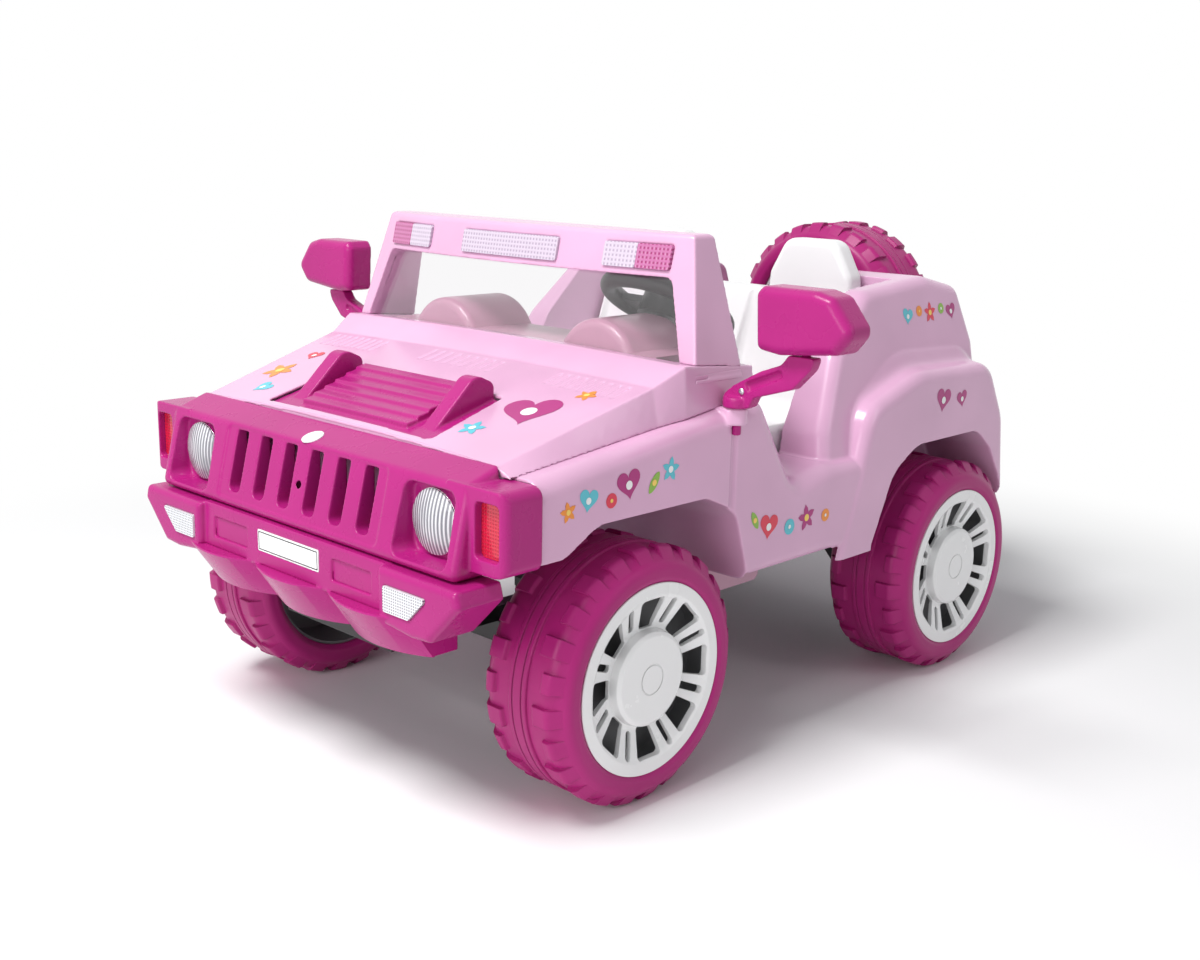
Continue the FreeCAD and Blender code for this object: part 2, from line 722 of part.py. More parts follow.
def grille_panel():
    outside = panel_form(0).multiFuse([marker_box(0), mirrored(marker_box(0))])
    inside = panel_form(WALL).multiFuse([marker_box(WALL), mirrored(marker_box(WALL))])
    grow = WALL - 1
    pockets = [lamp_pocket(0), mirrored(lamp_pocket(0)), marker_pocket(0), mirrored(marker_pocket(0))]
    linings = [lamp_pocket(grow), mirrored(lamp_pocket(grow)), marker_pocket(grow),
               mirrored(marker_pocket(grow))]
    half = SLOT_PITCH * SLOT_COUNT / 2 + 6
    frame = [(-half, SLOT_LOW - 9), (half, SLOT_LOW - 9), (half, SLOT_HIGH + 5), (-half, SLOT_HIGH + 5)]
    sunk = prism(frame, 8, on_xz, GRILLE_LOW_Y - 10, 0).common(panel_form(0)).cut(panel_form(WALL / 2))
    sunk = sunk.common(box(-half, half, GRILLE_LOW_Y - 10, GRILLE_EDGE_Y + 6, 0, FRAME_TOP_Z))
    deep = GRILLE_EDGE_Y + 14
    inside = inside.cut(linings + grille_slots(grow, deep))
    screw = rod(Vector(0, GRILLE_LOW_Y - 20, HEADLAMP_Z), Vector(0, 0, HEADLAMP_Z), 4.5)
    shell = outside.cut(pockets + [sunk] + grille_slots(0, 0) + [screw])
    return shell.cut(inside)


def headlamp_reflectors():
    """Shallow dishes sunk into the pocket floors."""
    start = Vector(HEADLAMP_X, HEADLAMP_FACE, HEADLAMP_Z)
    dish = rod(start - BACK * 5, start, HEADLAMP_RADIUS)
    hollow = Part.makeCone(HEADLAMP_RADIUS - 3, HEADLAMP_RADIUS - 16, 4, start - BACK * 5, BACK)
    return both(dish.cut(hollow))


def dome(centre, radius, rise, edge):
    """Lens: a cap of a large ball on a short cylindrical edge, bulging forwards."""
    ball = (radius ** 2 + rise ** 2) / (2 * rise)
    middle = centre + BACK * (ball - rise - edge)
    cap = Part.makeSphere(ball, middle).common(rod(centre - BACK * (rise + edge), centre, radius))
    return cap


def headlamp_lenses():
    return both(dome(Vector(HEADLAMP_X, HEADLAMP_FACE - 5, HEADLAMP_Z), HEADLAMP_RADIUS - 0.5, 9, 2))


def marker_lenses():
    lens = marker_pocket(-SEAT_GAP).common(box(0, BODY_HALF * 2, MARKER_FRONT + 10, MARKER_FRONT + 18, 0,
                                               FRAME_TOP_Z))
    return both(lens)


# Front bumper
def fog_outline():
    return [(FOG_IN, FOG_LOW + 6), (FOG_IN + 60, FOG_LOW), (FOG_IN + 92, FOG_LOW + 2),
            (FOG_OUT, BUMPER_TOP - 20),
            (FOG_OUT - 6, BUMPER_TOP - 1), (FOG_IN, BUMPER_TOP - 1)]


def fog_lens_outline(grow):
    low = FOG_LOW + 22 - grow
    high = BUMPER_TOP - 20 + grow
    return [(FOG_IN + 14 - grow, low), (FOG_IN + 60 + grow, low), (FOG_IN + 92 + grow, high),
            (FOG_IN + 14 - grow, high)]


def fog_box(wall):
    points = inset(fog_outline(), [wall] * 6)
    back = BUMPER_BACK + (20 if wall else -16)
    solid = prism(points, 4, on_xz, FOG_FACE + wall, back)
    face = FOG_FACE + wall
    return soften(solid, FOG_ROUND - wall / 2, lambda b: b.YLength < 1e-6 and abs(b.YMin - face) < 1e-6)


def skid(wall):
    """Lower lip: a row of bulges in plan, swept down and back."""
    half = SKID_HALF - wall
    front = -FRONT_OVERHANG + wall
    valley = front + 22
    pitch = 2 * half / SKID_BULGES
    back = BUMPER_BACK - 8 + 2 * wall
    edges = [Part.makeLine(Vector(-half, back, BUMPER_LEDGE), Vector(-half, valley, BUMPER_LEDGE))]
    for i in range(SKID_BULGES):
        x = -half + i * pitch
        ends = [Vector(x + share * pitch, y, BUMPER_LEDGE)
                for share, y in ((0, valley), (0.5, front), (1, valley))]
        edges.append(Part.Arc(*ends).toShape())
    edges.append(Part.makeLine(Vector(half, valley, BUMPER_LEDGE), Vector(half, back, BUMPER_LEDGE)))
    edges.append(Part.makeLine(Vector(half, back, BUMPER_LEDGE), Vector(-half, back, BUMPER_LEDGE)))
    drop = BUMPER_LEDGE - SKID_LOW
    solid = Part.Face(Part.Wire(edges)).extrude(Vector(0, drop * 0.7, -drop + wall))
    return solid


def bumper_form(wall):
    points = [(BUMPER_FACE - 2, BUMPER_LEDGE - 2), (BUMPER_BACK, BUMPER_LEDGE - 2), (BUMPER_BACK, BUMPER_TOP),
              (BUMPER_FACE, BUMPER_TOP)]
    moves = [-10 if wall else 0, -30 if wall else 0, wall, wall]
    middle = prism(inset(points, moves), 0, on_yz, wall - BUMPER_HALF, BUMPER_HALF - wall)
    return middle.multiFuse([fog_box(wall), mirrored(fog_box(wall)), skid(wall)])


def panel_recess(x0, x1, z0, z1, deep):
    points = [(x0, z0), (x1, z0), (x1, z1), (x0, z1)]
    return prism(points, 3, on_xz, BUMPER_FACE - 20, BUMPER_FACE + deep)


def front_bumper():
    shell = bumper_form(0).cut(bumper_form(WALL))
    plate = panel_recess(-PLATE_HALF - SEAT_GAP, PLATE_HALF + SEAT_GAP, PLATE_LOW - SEAT_GAP,
                         PLATE_HIGH + SEAT_GAP, 1)
    left = panel_recess(PLATE_HALF + 26, BUMPER_HALF - 26, PLATE_LOW - 4, PLATE_HIGH - 4, 2.5)
    fog = prism(fog_lens_outline(0), 3, on_xz, FOG_FACE - 20, FOG_FACE + WALL - 1)
    behind = box(-GRILLE_HALF, GRILLE_HALF, BONNET_FRONT, 0, 0, FRAME_TOP_Z)
    over = box(-2 * BODY_HALF, 2 * BODY_HALF, 2 * FENDER_FRONT, 0, GRILLE_LOW_Z, FRAME_TOP_Z)
    return shell.cut([plate, left, mirrored(left), fog, mirrored(fog), behind, over])


def number_plate():
    points = [(-PLATE_HALF, PLATE_LOW), (PLATE_HALF, PLATE_LOW), (PLATE_HALF, PLATE_HIGH),
              (-PLATE_HALF, PLATE_HIGH)]
    return prism(points, 2, on_xz, BUMPER_FACE + 1 - PLATE_THICK, BUMPER_FACE + 1)


def fog_lamp_lenses():
    return both(prism(fog_lens_outline(-SEAT_GAP), 3, on_xz, FOG_FACE - 2, FOG_FACE + WALL - 1))


# Wheels, drawn about the x axis with the inner face at zero and the outer face towards +x
def shoulder_lug(long):
    """One tread block on the outer shoulder."""
    wide = TYRE_WIDTH
    base = TYRE_RADIUS - TREAD_DEEP - 3
    points = [(wide - long, base), (wide - 24, base), (wide - 8, base - 16), (wide - 4, base - 11),
              (wide - 18, TYRE_RADIUS), (wide - long + 4, TYRE_RADIUS)]
    return turned(points, [0, 0, 0, 3, 10, 3], LUG_ANGLE)


def tyre():
    wide = TYRE_WIDTH
    top = TYRE_RADIUS - TREAD_DEEP
    outside = [(6, BEAD_RADIUS), (wide - 6, BEAD_RADIUS), (wide, BEAD_RADIUS + 8), (wide, BEAD_RADIUS + 25),
               (wide - 20, top), (20, top), (0, BEAD_RADIUS + 25), (0, BEAD_RADIUS + 8)]
    inner_top = top - TYRE_WALL
    inside = [(16, BEAD_RADIUS - 9), (wide - 16, BEAD_RADIUS - 9), (wide - TYRE_WALL, BEAD_RADIUS + 13),
              (wide - 22, inner_top), (22, inner_top), (TYRE_WALL, BEAD_RADIUS + 13)]
    ring = turned(outside, [2, 2, 8, 16, 20, 20, 16, 8]).cut(turned(inside, [0, 0, 9, 12, 12, 9]))
    middle = wide / 2
    rib = turned([(middle - RIB_HALF, top - 2), (middle + RIB_HALF, top - 2),
                  (middle + RIB_HALF, top + RIB_RISE),
                  (middle - RIB_HALF, top + RIB_RISE)], [0, 0, 2, 2])
    lines = [turned([(at - 1, top + RIB_RISE - 1.5), (at + 1, top + RIB_RISE - 1.5), (at + 1, TYRE_RADIUS),
                     (at - 1, TYRE_RADIUS)], 0) for at in (middle - RIB_HALF / 2, middle + RIB_HALF / 2)]
    pitch = 360 / LUG_COUNT
    lugs = []
    for i in range(LUG_COUNT):
        outer = shoulder_lug(LUG_SHORT if i % 2 else LUG_LONG)
        inner = outer.mirror(Vector(middle, 0, 0), LEFT)
        lugs.append(outer.rotated(Vector(), LEFT, i * pitch))
        lugs.append(inner.rotated(Vector(), LEFT, (i + 0.5) * pitch))
    return ring.multiFuse([rib.cut(lines)] + lugs)


def wheel_core():
    drum = turned([(10, BEAD_RADIUS - DRUM_WALL), (WEB_AT + 36, BEAD_RADIUS - DRUM_WALL),
                   (WEB_AT + 36, BEAD_RADIUS),
                   (10, BEAD_RADIUS)], 0)
    web = turned([(WEB_AT, HUB_RADIUS - 2), (WEB_AT + DRUM_WALL, HUB_RADIUS - 2),
                  (WEB_AT + DRUM_WALL, BEAD_RADIUS - 1), (WEB_AT, BEAD_RADIUS - 1)], 0)
    bore = AXLE_RADIUS + RUN_FIT
    hub = turned([(0, bore), (HUB_END, bore), (HUB_END, HUB_RADIUS), (0, HUB_RADIUS)], 0)
    return fused([drum, web, hub])


def spoke_window(angle):
    """Wedge opening between two spoke pairs."""
    inner = DISC_RADIUS + 4
    outer = RIM_RADIUS - 17
    spread = math.radians(WINDOW_HALF_ANGLE)
    points = []
    for radius, side in ((inner, -0.86), (outer, -1), (outer, 1), (inner, 0.86)):
        points.append((radius * math.cos(side * spread), radius * math.sin(side * spread)))
    cut = prism(points, [3, 5, 5, 3], on_yz, 0, 2 * TYRE_WIDTH)
    return cut.rotated(Vector(), LEFT, angle)


def spoke_slot(angle):
    """Round-ended slot down the middle of a spoke pair."""
    inner = DISC_RADIUS + 9
    outer = RIM_RADIUS - 18
    points = [(inner, -SLOT_HALF), (outer, -SLOT_HALF), (outer, SLOT_HALF), (inner, SLOT_HALF)]
    return prism(points, SLOT_HALF - 0.2, on_yz, 0, 2 * TYRE_WIDTH).rotated(Vector(), LEFT, angle)


def wheel_trim():
    seat = WEB_AT + 36
    face = TYRE_WIDTH - 1.5
    dip = face - SPOKE_DIP
    ring_in = RIM_RADIUS - 21
    section = [(face - 6, 0), (face - 1, 0), (face - 1, DISC_RADIUS - 5), (face - 4, DISC_RADIUS),
               (dip, DISC_RADIUS + 2), (dip, DISC_RADIUS + 8), (face - 3, ring_in), (face, ring_in + 6),
               (face, RIM_RADIUS), (face - 2, RIM_RADIUS), (face - 2, BEAD_RADIUS - 0.5),
               (seat, BEAD_RADIUS - 0.5), (seat, ring_in), (dip - SPOKE_THICK, DISC_RADIUS + 10),
               (dip - SPOKE_THICK, DISC_RADIUS - 3), (face - 6, DISC_RADIUS - 6)]
    radii = [0, 0, 4, 1.5, 0, 3, 4, 3, 1, 0, 0, 0, 3, 3, 2, 2]
    dish = turned(section, radii)
    ring = turned([(face - 1.8, 18.2), (face, 18.2), (face, 19.8), (face - 1.8, 19.8)], 0)
    step = 360 / SPOKE_PAIRS
    cuts = [ring]
    for i in range(SPOKE_PAIRS):
        cuts.append(spoke_window(i * step))
        cuts.append(spoke_slot((i + 0.5) * step))
    return dish.cut(cuts)


def wheel_nut():
    start = HUB_END + SEAT_GAP
    ring = rod(Vector(start, 0, 0), Vector(start + NUT_LENGTH, 0, 0), AXLE_RADIUS + 5)
    return ring.cut(rod(Vector(), Vector(TYRE_WIDTH, 0, 0), AXLE_RADIUS))


def at_wheel(shape, y, side):
    """Place a wheel piece on the left or the right of the car."""
    placed = shape.translated(Vector(TRACK_X - TYRE_WIDTH / 2, y, TYRE_RADIUS))
    return placed if side == "left" else mirrored(placed)


def at_spare(shape):
    """Place a wheel piece on the tail, with its outer face to the back."""
    back = WHEELBASE + REAR_OVERHANG
    return shape.rotated(Vector(), UP, 90).translated(Vector(0, back - TYRE_WIDTH, SPARE_Z))


# Chassis and front axle
def tube(x0, x1, y0, y1, z0, z1, along):
    """Square tube, open at both ends."""
    wall = RAIL_WALL
    x, y, z = (0 if along == axis else wall for axis in "xyz")
    return box(x0, x1, y0, y1, z0, z1).cut(box(x0 + x, x1 - x, y0 + y, y1 - y, z0 + z, z1 - z))


def chassis_frame():
    front = BUMPER_BACK - 2
    back = QUARTER_BACK - 12
    half = RAIL_WIDE / 2
    rail = tube(RAIL_X - half, RAIL_X + half, front, back, RAIL_LOW, RAIL_HIGH, "y")
    pieces = [rail, mirrored(rail)]
    for y in (front, SHELF_FRONT, COCKPIT_BACK):
        pieces.append(tube(half - RAIL_X, RAIL_X - half, y, y + RAIL_WIDE, RAIL_LOW, RAIL_HIGH, "x"))
    arm = tube(RAIL_X + half, GEAR_IN, COCKPIT_BACK, COCKPIT_BACK + RAIL_WIDE, RAIL_LOW, RAIL_HIGH, "x")
    hanger = prism([(WHEELBASE - 22, RAIL_LOW), (WHEELBASE - 14, TYRE_RADIUS - 16),
                    (WHEELBASE + 14, TYRE_RADIUS - 16),
                    (WHEELBASE + 22, RAIL_LOW)], [0, 8, 8, 0], on_yz, RAIL_X - 2, RAIL_X + 2)
    axle = Vector(0, WHEELBASE, TYRE_RADIUS)
    hanger = hanger.cut(rod(axle, axle + LEFT * TRACK_X, AXLE_RADIUS))
    bracket = box(RAIL_X - half, RAIL_X + half, front, front + RAIL_WIDE, RAIL_HIGH, SKID_LOW)
    tray = box(-RAIL_X, RAIL_X, BATTERY_FRONT - 12, BATTERY_FRONT + BATTERY_LONG + 12, RAIL_HIGH,
               RAIL_HIGH + TRAY_THICK)
    return fused(pieces + [arm, mirrored(arm), hanger, mirrored(hanger), bracket, mirrored(bracket), tray])


def front_axle_beam():
    half = BEAM_DEEP / 2
    high = BEAM_LOW + BEAM_DEEP
    inner = KINGPIN_X - KNUCKLE_RADIUS - 12
    middle = tube(-inner, inner, -half, half, BEAM_LOW, high, "x")
    fork = []
    for low in (BEAM_LOW - LUG_PLATE, high):
        points = [(inner - 34, -half), (KINGPIN_X + 14, -half), (KINGPIN_X + 14, half), (inner - 34, half)]
        lug = prism(points, [2, 13, 13, 2], on_xy, low, low + LUG_PLATE)
        pin = Vector(KINGPIN_X, 0, 0)
        fork.append(lug.cut(rod(pin, pin + UP * FRAME_TOP_Z, KINGPIN_RADIUS)))
    return fused([middle] + fork + [mirrored(lug) for lug in fork])


def kingpins():
    low = Vector(KINGPIN_X, 0, BEAM_LOW - LUG_PLATE)
    high = Vector(KINGPIN_X, 0, BEAM_LOW + BEAM_DEEP + LUG_PLATE)
    pin = rod(low, high, KINGPIN_RADIUS)
    head = rod(high, high + UP * 4, KINGPIN_RADIUS + 3)
    return both(pin.fuse(head))


def knuckle():
    """Steering knuckle: sleeve on the kingpin, stub axle for the wheel and arm with a pin for the tie rod."""
    low = Vector(KINGPIN_X, 0, BEAM_LOW + SEAT_GAP)
    high = Vector(KINGPIN_X, 0, BEAM_LOW + BEAM_DEEP - SEAT_GAP)
    sleeve = rod(low, high, KNUCKLE_RADIUS)
    wheel_face = TRACK_X - TYRE_WIDTH / 2
    hub = Vector(KINGPIN_X, 0, TYRE_RADIUS)
    shoulder = rod(hub, Vector(wheel_face - SEAT_GAP, 0, TYRE_RADIUS), AXLE_RADIUS + 3)
    stub = rod(hub, Vector(wheel_face + HUB_END + NUT_LENGTH + 1, 0, TYRE_RADIUS), AXLE_RADIUS)
    arm_low = TIE_LOW + TIE_THICK + 2 * SEAT_GAP
    points = [(KINGPIN_X - 12, 0), (KINGPIN_X + 12, 0), (KINGPIN_X + 10, STEER_ARM + 9),
              (KINGPIN_X - 10, STEER_ARM + 9)]
    arm = prism(points, [0, 0, 8, 8], on_xy, arm_low, arm_low + 9)
    tip = Vector(KINGPIN_X, STEER_ARM, 0)
    pin = rod(tip + UP * (TIE_LOW - 3), tip + UP * (arm_low + 4), PIN_RADIUS)
    solid = fused([sleeve, shoulder, stub, arm, pin])
    bore = rod(low - UP * BEAM_LOW / 2, high + UP * BEAM_LOW, KINGPIN_RADIUS + RUN_FIT)
    return solid.cut(bore)


def tie_rod():
    """Bar between the knuckle arms, with a slotted plate for the crank pin."""
    high = TIE_LOW + TIE_THICK
    half = TIE_WIDE / 2
    pieces = [box(-KINGPIN_X, KINGPIN_X, STEER_ARM - half, STEER_ARM + half, TIE_LOW, high)]
    for x in (-KINGPIN_X, KINGPIN_X):
        eye = Vector(x, STEER_ARM, TIE_LOW)
        pieces.append(rod(eye, eye + UP * TIE_THICK, PIN_RADIUS + 6))
    points = [(COLUMN_X - 20, STEER_ARM - 26), (COLUMN_X + 20, STEER_ARM - 26),
              (COLUMN_X + 20, STEER_ARM + 26),
              (COLUMN_X - 20, STEER_ARM + 26)]
    pieces.append(prism(points, 8, on_xy, TIE_LOW, high))
    bar = fused(pieces)
    wide = PIN_RADIUS + PLAY
    slot = prism([(COLUMN_X - wide, STEER_ARM - 18), (COLUMN_X + wide, STEER_ARM - 18),
                  (COLUMN_X + wide, STEER_ARM + 18), (COLUMN_X - wide, STEER_ARM + 18)], 5, on_xy, 0,
                  2 * TYRE_RADIUS)
    left = Vector(KINGPIN_X, STEER_ARM, 0)
    right = Vector(-KINGPIN_X, STEER_ARM, 0)
    tall = UP * 2 * TYRE_RADIUS
    return bar.cut([slot, rod(left, left + tall, PIN_RADIUS + RUN_FIT),
                    rod(right, right + tall, PIN_RADIUS + SEAT_GAP)])


# Steering column and wheel
def column_axis():
    """Unit direction of the column, up and back towards the driver, and the crank's pin at rest."""
    pin = Vector(COLUMN_X, STEER_ARM, TIE_LOW + TIE_THICK / 2)
    wheel = Vector(COLUMN_X, WHEEL_Y, WHEEL_Z)
    reach = math.hypot(wheel.y - pin.y, wheel.z - pin.z)
    lean = math.atan2(wheel.z - pin.z, wheel.y - pin.y) - math.asin(CRANK_ARM / reach)
    return Vector(0, math.cos(lean), math.sin(lean)), pin


def column_ends():
    axis, pin = column_axis()
    wheel = Vector(COLUMN_X, WHEEL_Y, WHEEL_Z)
    foot = wheel - axis * axis.dot(wheel - pin)
    return foot + axis * 20, wheel


def crank_direction():
    axis, _ = column_axis()
    return LEFT.cross(axis) * -1


def steering_column():
    """Straight rod whose lower end carries a crank with a pin that drives the tie rod."""
    axis, pin = column_axis()
    low, high = column_ends()
    shaft = rod(low, high - axis * 8, COLUMN_RADIUS)
    raised = pin + axis * 20
    crank = fused([rod(low, low + axis * 8, 11), rod(raised, raised + axis * 8, 10)])
    across = LEFT * 9
    corners = [low + across, low - across, raised - across, raised + across, low + across]
    web = Part.Face(Part.makePolygon(corners)).extrude(axis * 8)
    post = rod(pin - axis * 16, raised + axis, PIN_RADIUS)
    collar_at = column_point(RAIL_HIGH + BRACKET_RISE + BRACKET_THICK + COLUMN_RADIUS + PLAY)
    collar = rod(collar_at, collar_at + axis * 8, COLUMN_RADIUS + 4)
    return fused([shaft, crank, web, post, collar])


def column_point(z):
    low, high = column_ends()
    return low + (high - low) * ((z - low.z) / (high.z - low.z))


def column_bracket():
    """Raised plate on the left rail with the column's lower bush."""
    low = RAIL_HIGH + BRACKET_RISE
    middle = column_point(low + BRACKET_THICK / 2)
    points = [(RAIL_X - RAIL_WIDE / 2, middle.y - 18), (COLUMN_X, middle.y - 18), (COLUMN_X + 20, middle.y),
              (COLUMN_X, middle.y + 18), (RAIL_X - RAIL_WIDE / 2, middle.y + 18)]
    plate = prism(points, [4, 10, 12, 10, 4], on_xy, low, low + BRACKET_THICK)
    leg = box(RAIL_X - RAIL_WIDE / 2, RAIL_X + RAIL_WIDE / 2, middle.y - 14, middle.y + 14, RAIL_HIGH,
              low + 1)
    return fused([plate, leg]).cut(rod(*column_ends(), COLUMN_RADIUS + RUN_FIT))


def steering_wheel():
    axis, _ = column_axis()
    centre = Vector(COLUMN_X, WHEEL_Y, WHEEL_Z)
    rim = Part.makeTorus(STEERING_RADIUS - STEERING_RIM, STEERING_RIM, Vector(), UP)
    hub = rod(Vector(0, 0, -22), Vector(0, 0, 12), BUTTON_RADIUS + 12)
    pieces = [rim, hub]
    for angle in (0, 180, 90):
        spoke = prism([(10, -13), (STEERING_RADIUS - STEERING_RIM, -18),
                       (STEERING_RADIUS - STEERING_RIM, 18), (10, 13)],
                      0, on_xy, -5, 5)
        pieces.append(spoke.rotated(Vector(), UP, angle))
    wheel = fused(pieces)
    well = rod(Vector(0, 0, 2), Vector(0, 0, 20), BUTTON_RADIUS + SEAT_GAP)
    socket = rod(Vector(0, 0, -30), Vector(0, 0, -8), COLUMN_RADIUS)
    wheel = wheel.cut([well, socket])
    placed = wheel.copy()
    placed.Placement = Placement(centre, upright(axis))
    return placed


def upright(axis):
    """Rotation that carries +z onto the axis and +y onto the crank's direction, with x kept."""
    down = crank_direction()
    matrix = Matrix(LEFT.x, down.x, axis.x, 0, LEFT.y, down.y, axis.y, 0, LEFT.z, down.z, axis.z, 0, 0, 0,
                    0, 1)
    return Placement(matrix).Rotation


def horn_button():
    axis, _ = column_axis()
    low = 2 + BUTTON_TRAVEL + SEAT_GAP
    cap = rod(Vector(0, 0, low), Vector(0, 0, low + 11), BUTTON_RADIUS)
    cap = soften(cap, 3, lambda b: b.ZMin > low + 5 and b.ZLength < 1e-3)
    placed = cap.copy()
    placed.Placement = Placement(Vector(COLUMN_X, WHEEL_Y, WHEEL_Z), upright(axis))
    return placed


# Cabin
def floor_pan():
    """Footwell tub, seat shelf and rear riser folded from one sheet, with grip ribs on the floor."""
    front = COCKPIT_FRONT + SEAT_GAP
    back = COCKPIT_BACK - SEAT_GAP
    half = COCKPIT_HALF - SEAT_GAP
    low = FLOOR_LOW
    points = [(front, low), (SHELF_FRONT, low), (SHELF_FRONT, SHELF_Z), (back, SHELF_Z),
              (back, TRUNK_FLOOR - WALL),
              (back - WALL, TRUNK_FLOOR - WALL), (back - WALL, SHELF_Z + WALL),
              (SHELF_FRONT - WALL, SHELF_Z + WALL),
              (SHELF_FRONT - WALL, low + WALL), (front + WALL, low + WALL), (front + WALL, TUB_TOP),
              (front, TUB_TOP)]
    radii = [12, 12, 6, 12, 0, 0, 8, 10, 8, 8, 0, 0]
    pieces = [prism(points, radii, on_yz, -half, half)]
    side = prism([(front, low), (SHELF_FRONT, low), (SHELF_FRONT, TUB_TOP), (front, TUB_TOP)],
                 [12, 12, 0, 0], on_yz,
                 half - WALL, half)
    pieces += [side, mirrored(side)]
    for i in range(3):
        y = front + 40 + i * 26
        rib = prism([(40, y), (half - 44, y), (half - 44, y + 8), (40, y + 8)], 3, on_xy, low + WALL - 1,
                    low + WALL + 3)
        if y + 8 < PEDAL_HINGE_Y - 20:
            pieces += [mirrored(rib)]
    for x in (PEDAL_X - PEDAL_WIDE / 2 - 9, PEDAL_X + PEDAL_WIDE / 2 + 1):
        lug = [(PEDAL_HINGE_Y - 10, low + WALL - 1), (PEDAL_HINGE_Y + 10, low + WALL - 1),
               (PEDAL_HINGE_Y + 8, PEDAL_HINGE_Z + 9), (PEDAL_HINGE_Y - 8, PEDAL_HINGE_Z + 9)]
        pieces.append(prism(lug, [0, 0, 6, 6], on_yz, x, x + 8))
    pieces.append(lever_tower())
    pin = Vector(PEDAL_X, PEDAL_HINGE_Y, PEDAL_HINGE_Z)
    bore = rod(pin - LEFT * PEDAL_WIDE, pin + LEFT * PEDAL_WIDE, PEDAL_PIN + RUN_FIT)
    return fused(pieces).cut(bore)


def lever_tower():
    """Small console on the floor with a slot for the gear lever."""
    low = FLOOR_LOW + WALL - 1
    high = LEVER_Z + 14
    outer = prism([(LEVER_Y - 42, low), (LEVER_Y + 42, low), (LEVER_Y + 30, high), (LEVER_Y - 30, high)],
                  [0, 0, 12, 12], on_yz, -26, 26)
    slot = box(-10, 10, LEVER_Y - 34, LEVER_Y + 34, low - 1, high + 1)
    pin = Vector(0, LEVER_Y, LEVER_Z)
    return outer.cut([slot, rod(pin - LEFT * 30, pin + LEFT * 30, LEVER_PIN + RUN_FIT)])


def accelerator_pedal():
    hinge = Vector(PEDAL_X, PEDAL_HINGE_Y, PEDAL_HINGE_Z)
    half = PEDAL_WIDE / 2
    plate = prism([(half, 0), (half, PEDAL_LONG), (-half, PEDAL_LONG), (-half, 0)], [0, 14, 14, 0], on_xy,
                  -7, -1)
    ribs = [box(-half + 8, half - 8, y, y + 4, -9, -6) for y in range(20, PEDAL_LONG - 12, 14)]
    plate = fused([plate] + ribs)
    plate.Placement = Placement(hinge, Rotation(LEFT, 180 - PEDAL_LEAN))
    sleeve = rod(hinge - LEFT * half, hinge + LEFT * half, PEDAL_PIN + 4)
    pin = rod(hinge - LEFT * (half + 9), hinge + LEFT * (half + 9), PEDAL_PIN)
    return fused([plate, sleeve, pin])


def gear_lever():
    pivot = Vector(0, LEVER_Y, LEVER_Z)
    top = Vector(0, LEVER_Y, LEVER_TOP)
    stick = rod(pivot, top, 6)
    barrel = rod(pivot - LEFT * 8, pivot + LEFT * 8, 11)
    pin = rod(pivot - LEFT * 25, pivot + LEFT * 25, LEVER_PIN)
    knob = Part.makeSphere(17, top)
    return fused([stick, barrel, pin, knob])


def seat():
    """Bench of two moulded buckets with head rests."""
    low = SHELF_Z + WALL
    half = COCKPIT_HALF - 6
    front = SHELF_FRONT + 4
    back = COCKPIT_BACK - 14
    lift = 16
    hip = back - 92
    shoulder = back - 36
    bench = prism([(front, low), (back, low), (back, SEAT_BACK_TOP), (shoulder - lift, SEAT_BACK_TOP),
                   (hip - lift, SEAT_CUSHION + lift), (front, SEAT_CUSHION + lift - 4)],
                  [0, 0, 12, 12, 26, 16], on_yz, -half, half)
    bench = soften(bench, 10, lambda b: b.XLength < 1e-6 and b.ZMax > low + 1 and b.YMin < back - 15)
    bucket = prism([(front - 40, SEAT_CUSHION - 2), (hip, SEAT_CUSHION - 8), (shoulder, SEAT_BACK_TOP + 40),
                    (front - 40, SEAT_BACK_TOP + 40)], [0, 36, 0, 0], on_yz, SEAT_X - SEAT_HALF + 10,
                    SEAT_X + SEAT_HALF - 10)
    bucket = soften(bucket, 14, lambda b: b.XLength < 1e-6 and b.YMax > front)
    solid = bench.cut([bucket, mirrored(bucket)])
    base = HEADREST_HALF
    rest = prism([(SEAT_X - base, SEAT_BACK_TOP - 40), (SEAT_X + base, SEAT_BACK_TOP - 40),
                  (SEAT_X + base - 4, SEAT_BACK_TOP + 26), (SEAT_X + base - 34, HEADREST_TOP),
                  (SEAT_X - base + 34, HEADREST_TOP), (SEAT_X - base + 4, SEAT_BACK_TOP + 26)],
                 [0, 0, 22, 26, 26, 22], on_xz, shoulder - 4, back)
    rest = soften(rest, 11, lambda b: b.YLength < 1e-6 and b.ZMax > SEAT_BACK_TOP)
    wall = WALL + 1
    cavity = prism([(front + wall, low - wall), (back - wall, low - wall),
                    (back - wall, SEAT_BACK_TOP - 2 * wall),
                    (shoulder + 8, SEAT_BACK_TOP - 2 * wall), (hip + 9, SEAT_CUSHION - 8 - wall),
                    (front + wall, SEAT_CUSHION - 8 - wall)], [0, 0, 0, 0, 20, 0], on_yz, wall - half,
                    half - wall)
    return solid.multiFuse([rest, mirrored(rest)]).cut(cavity)


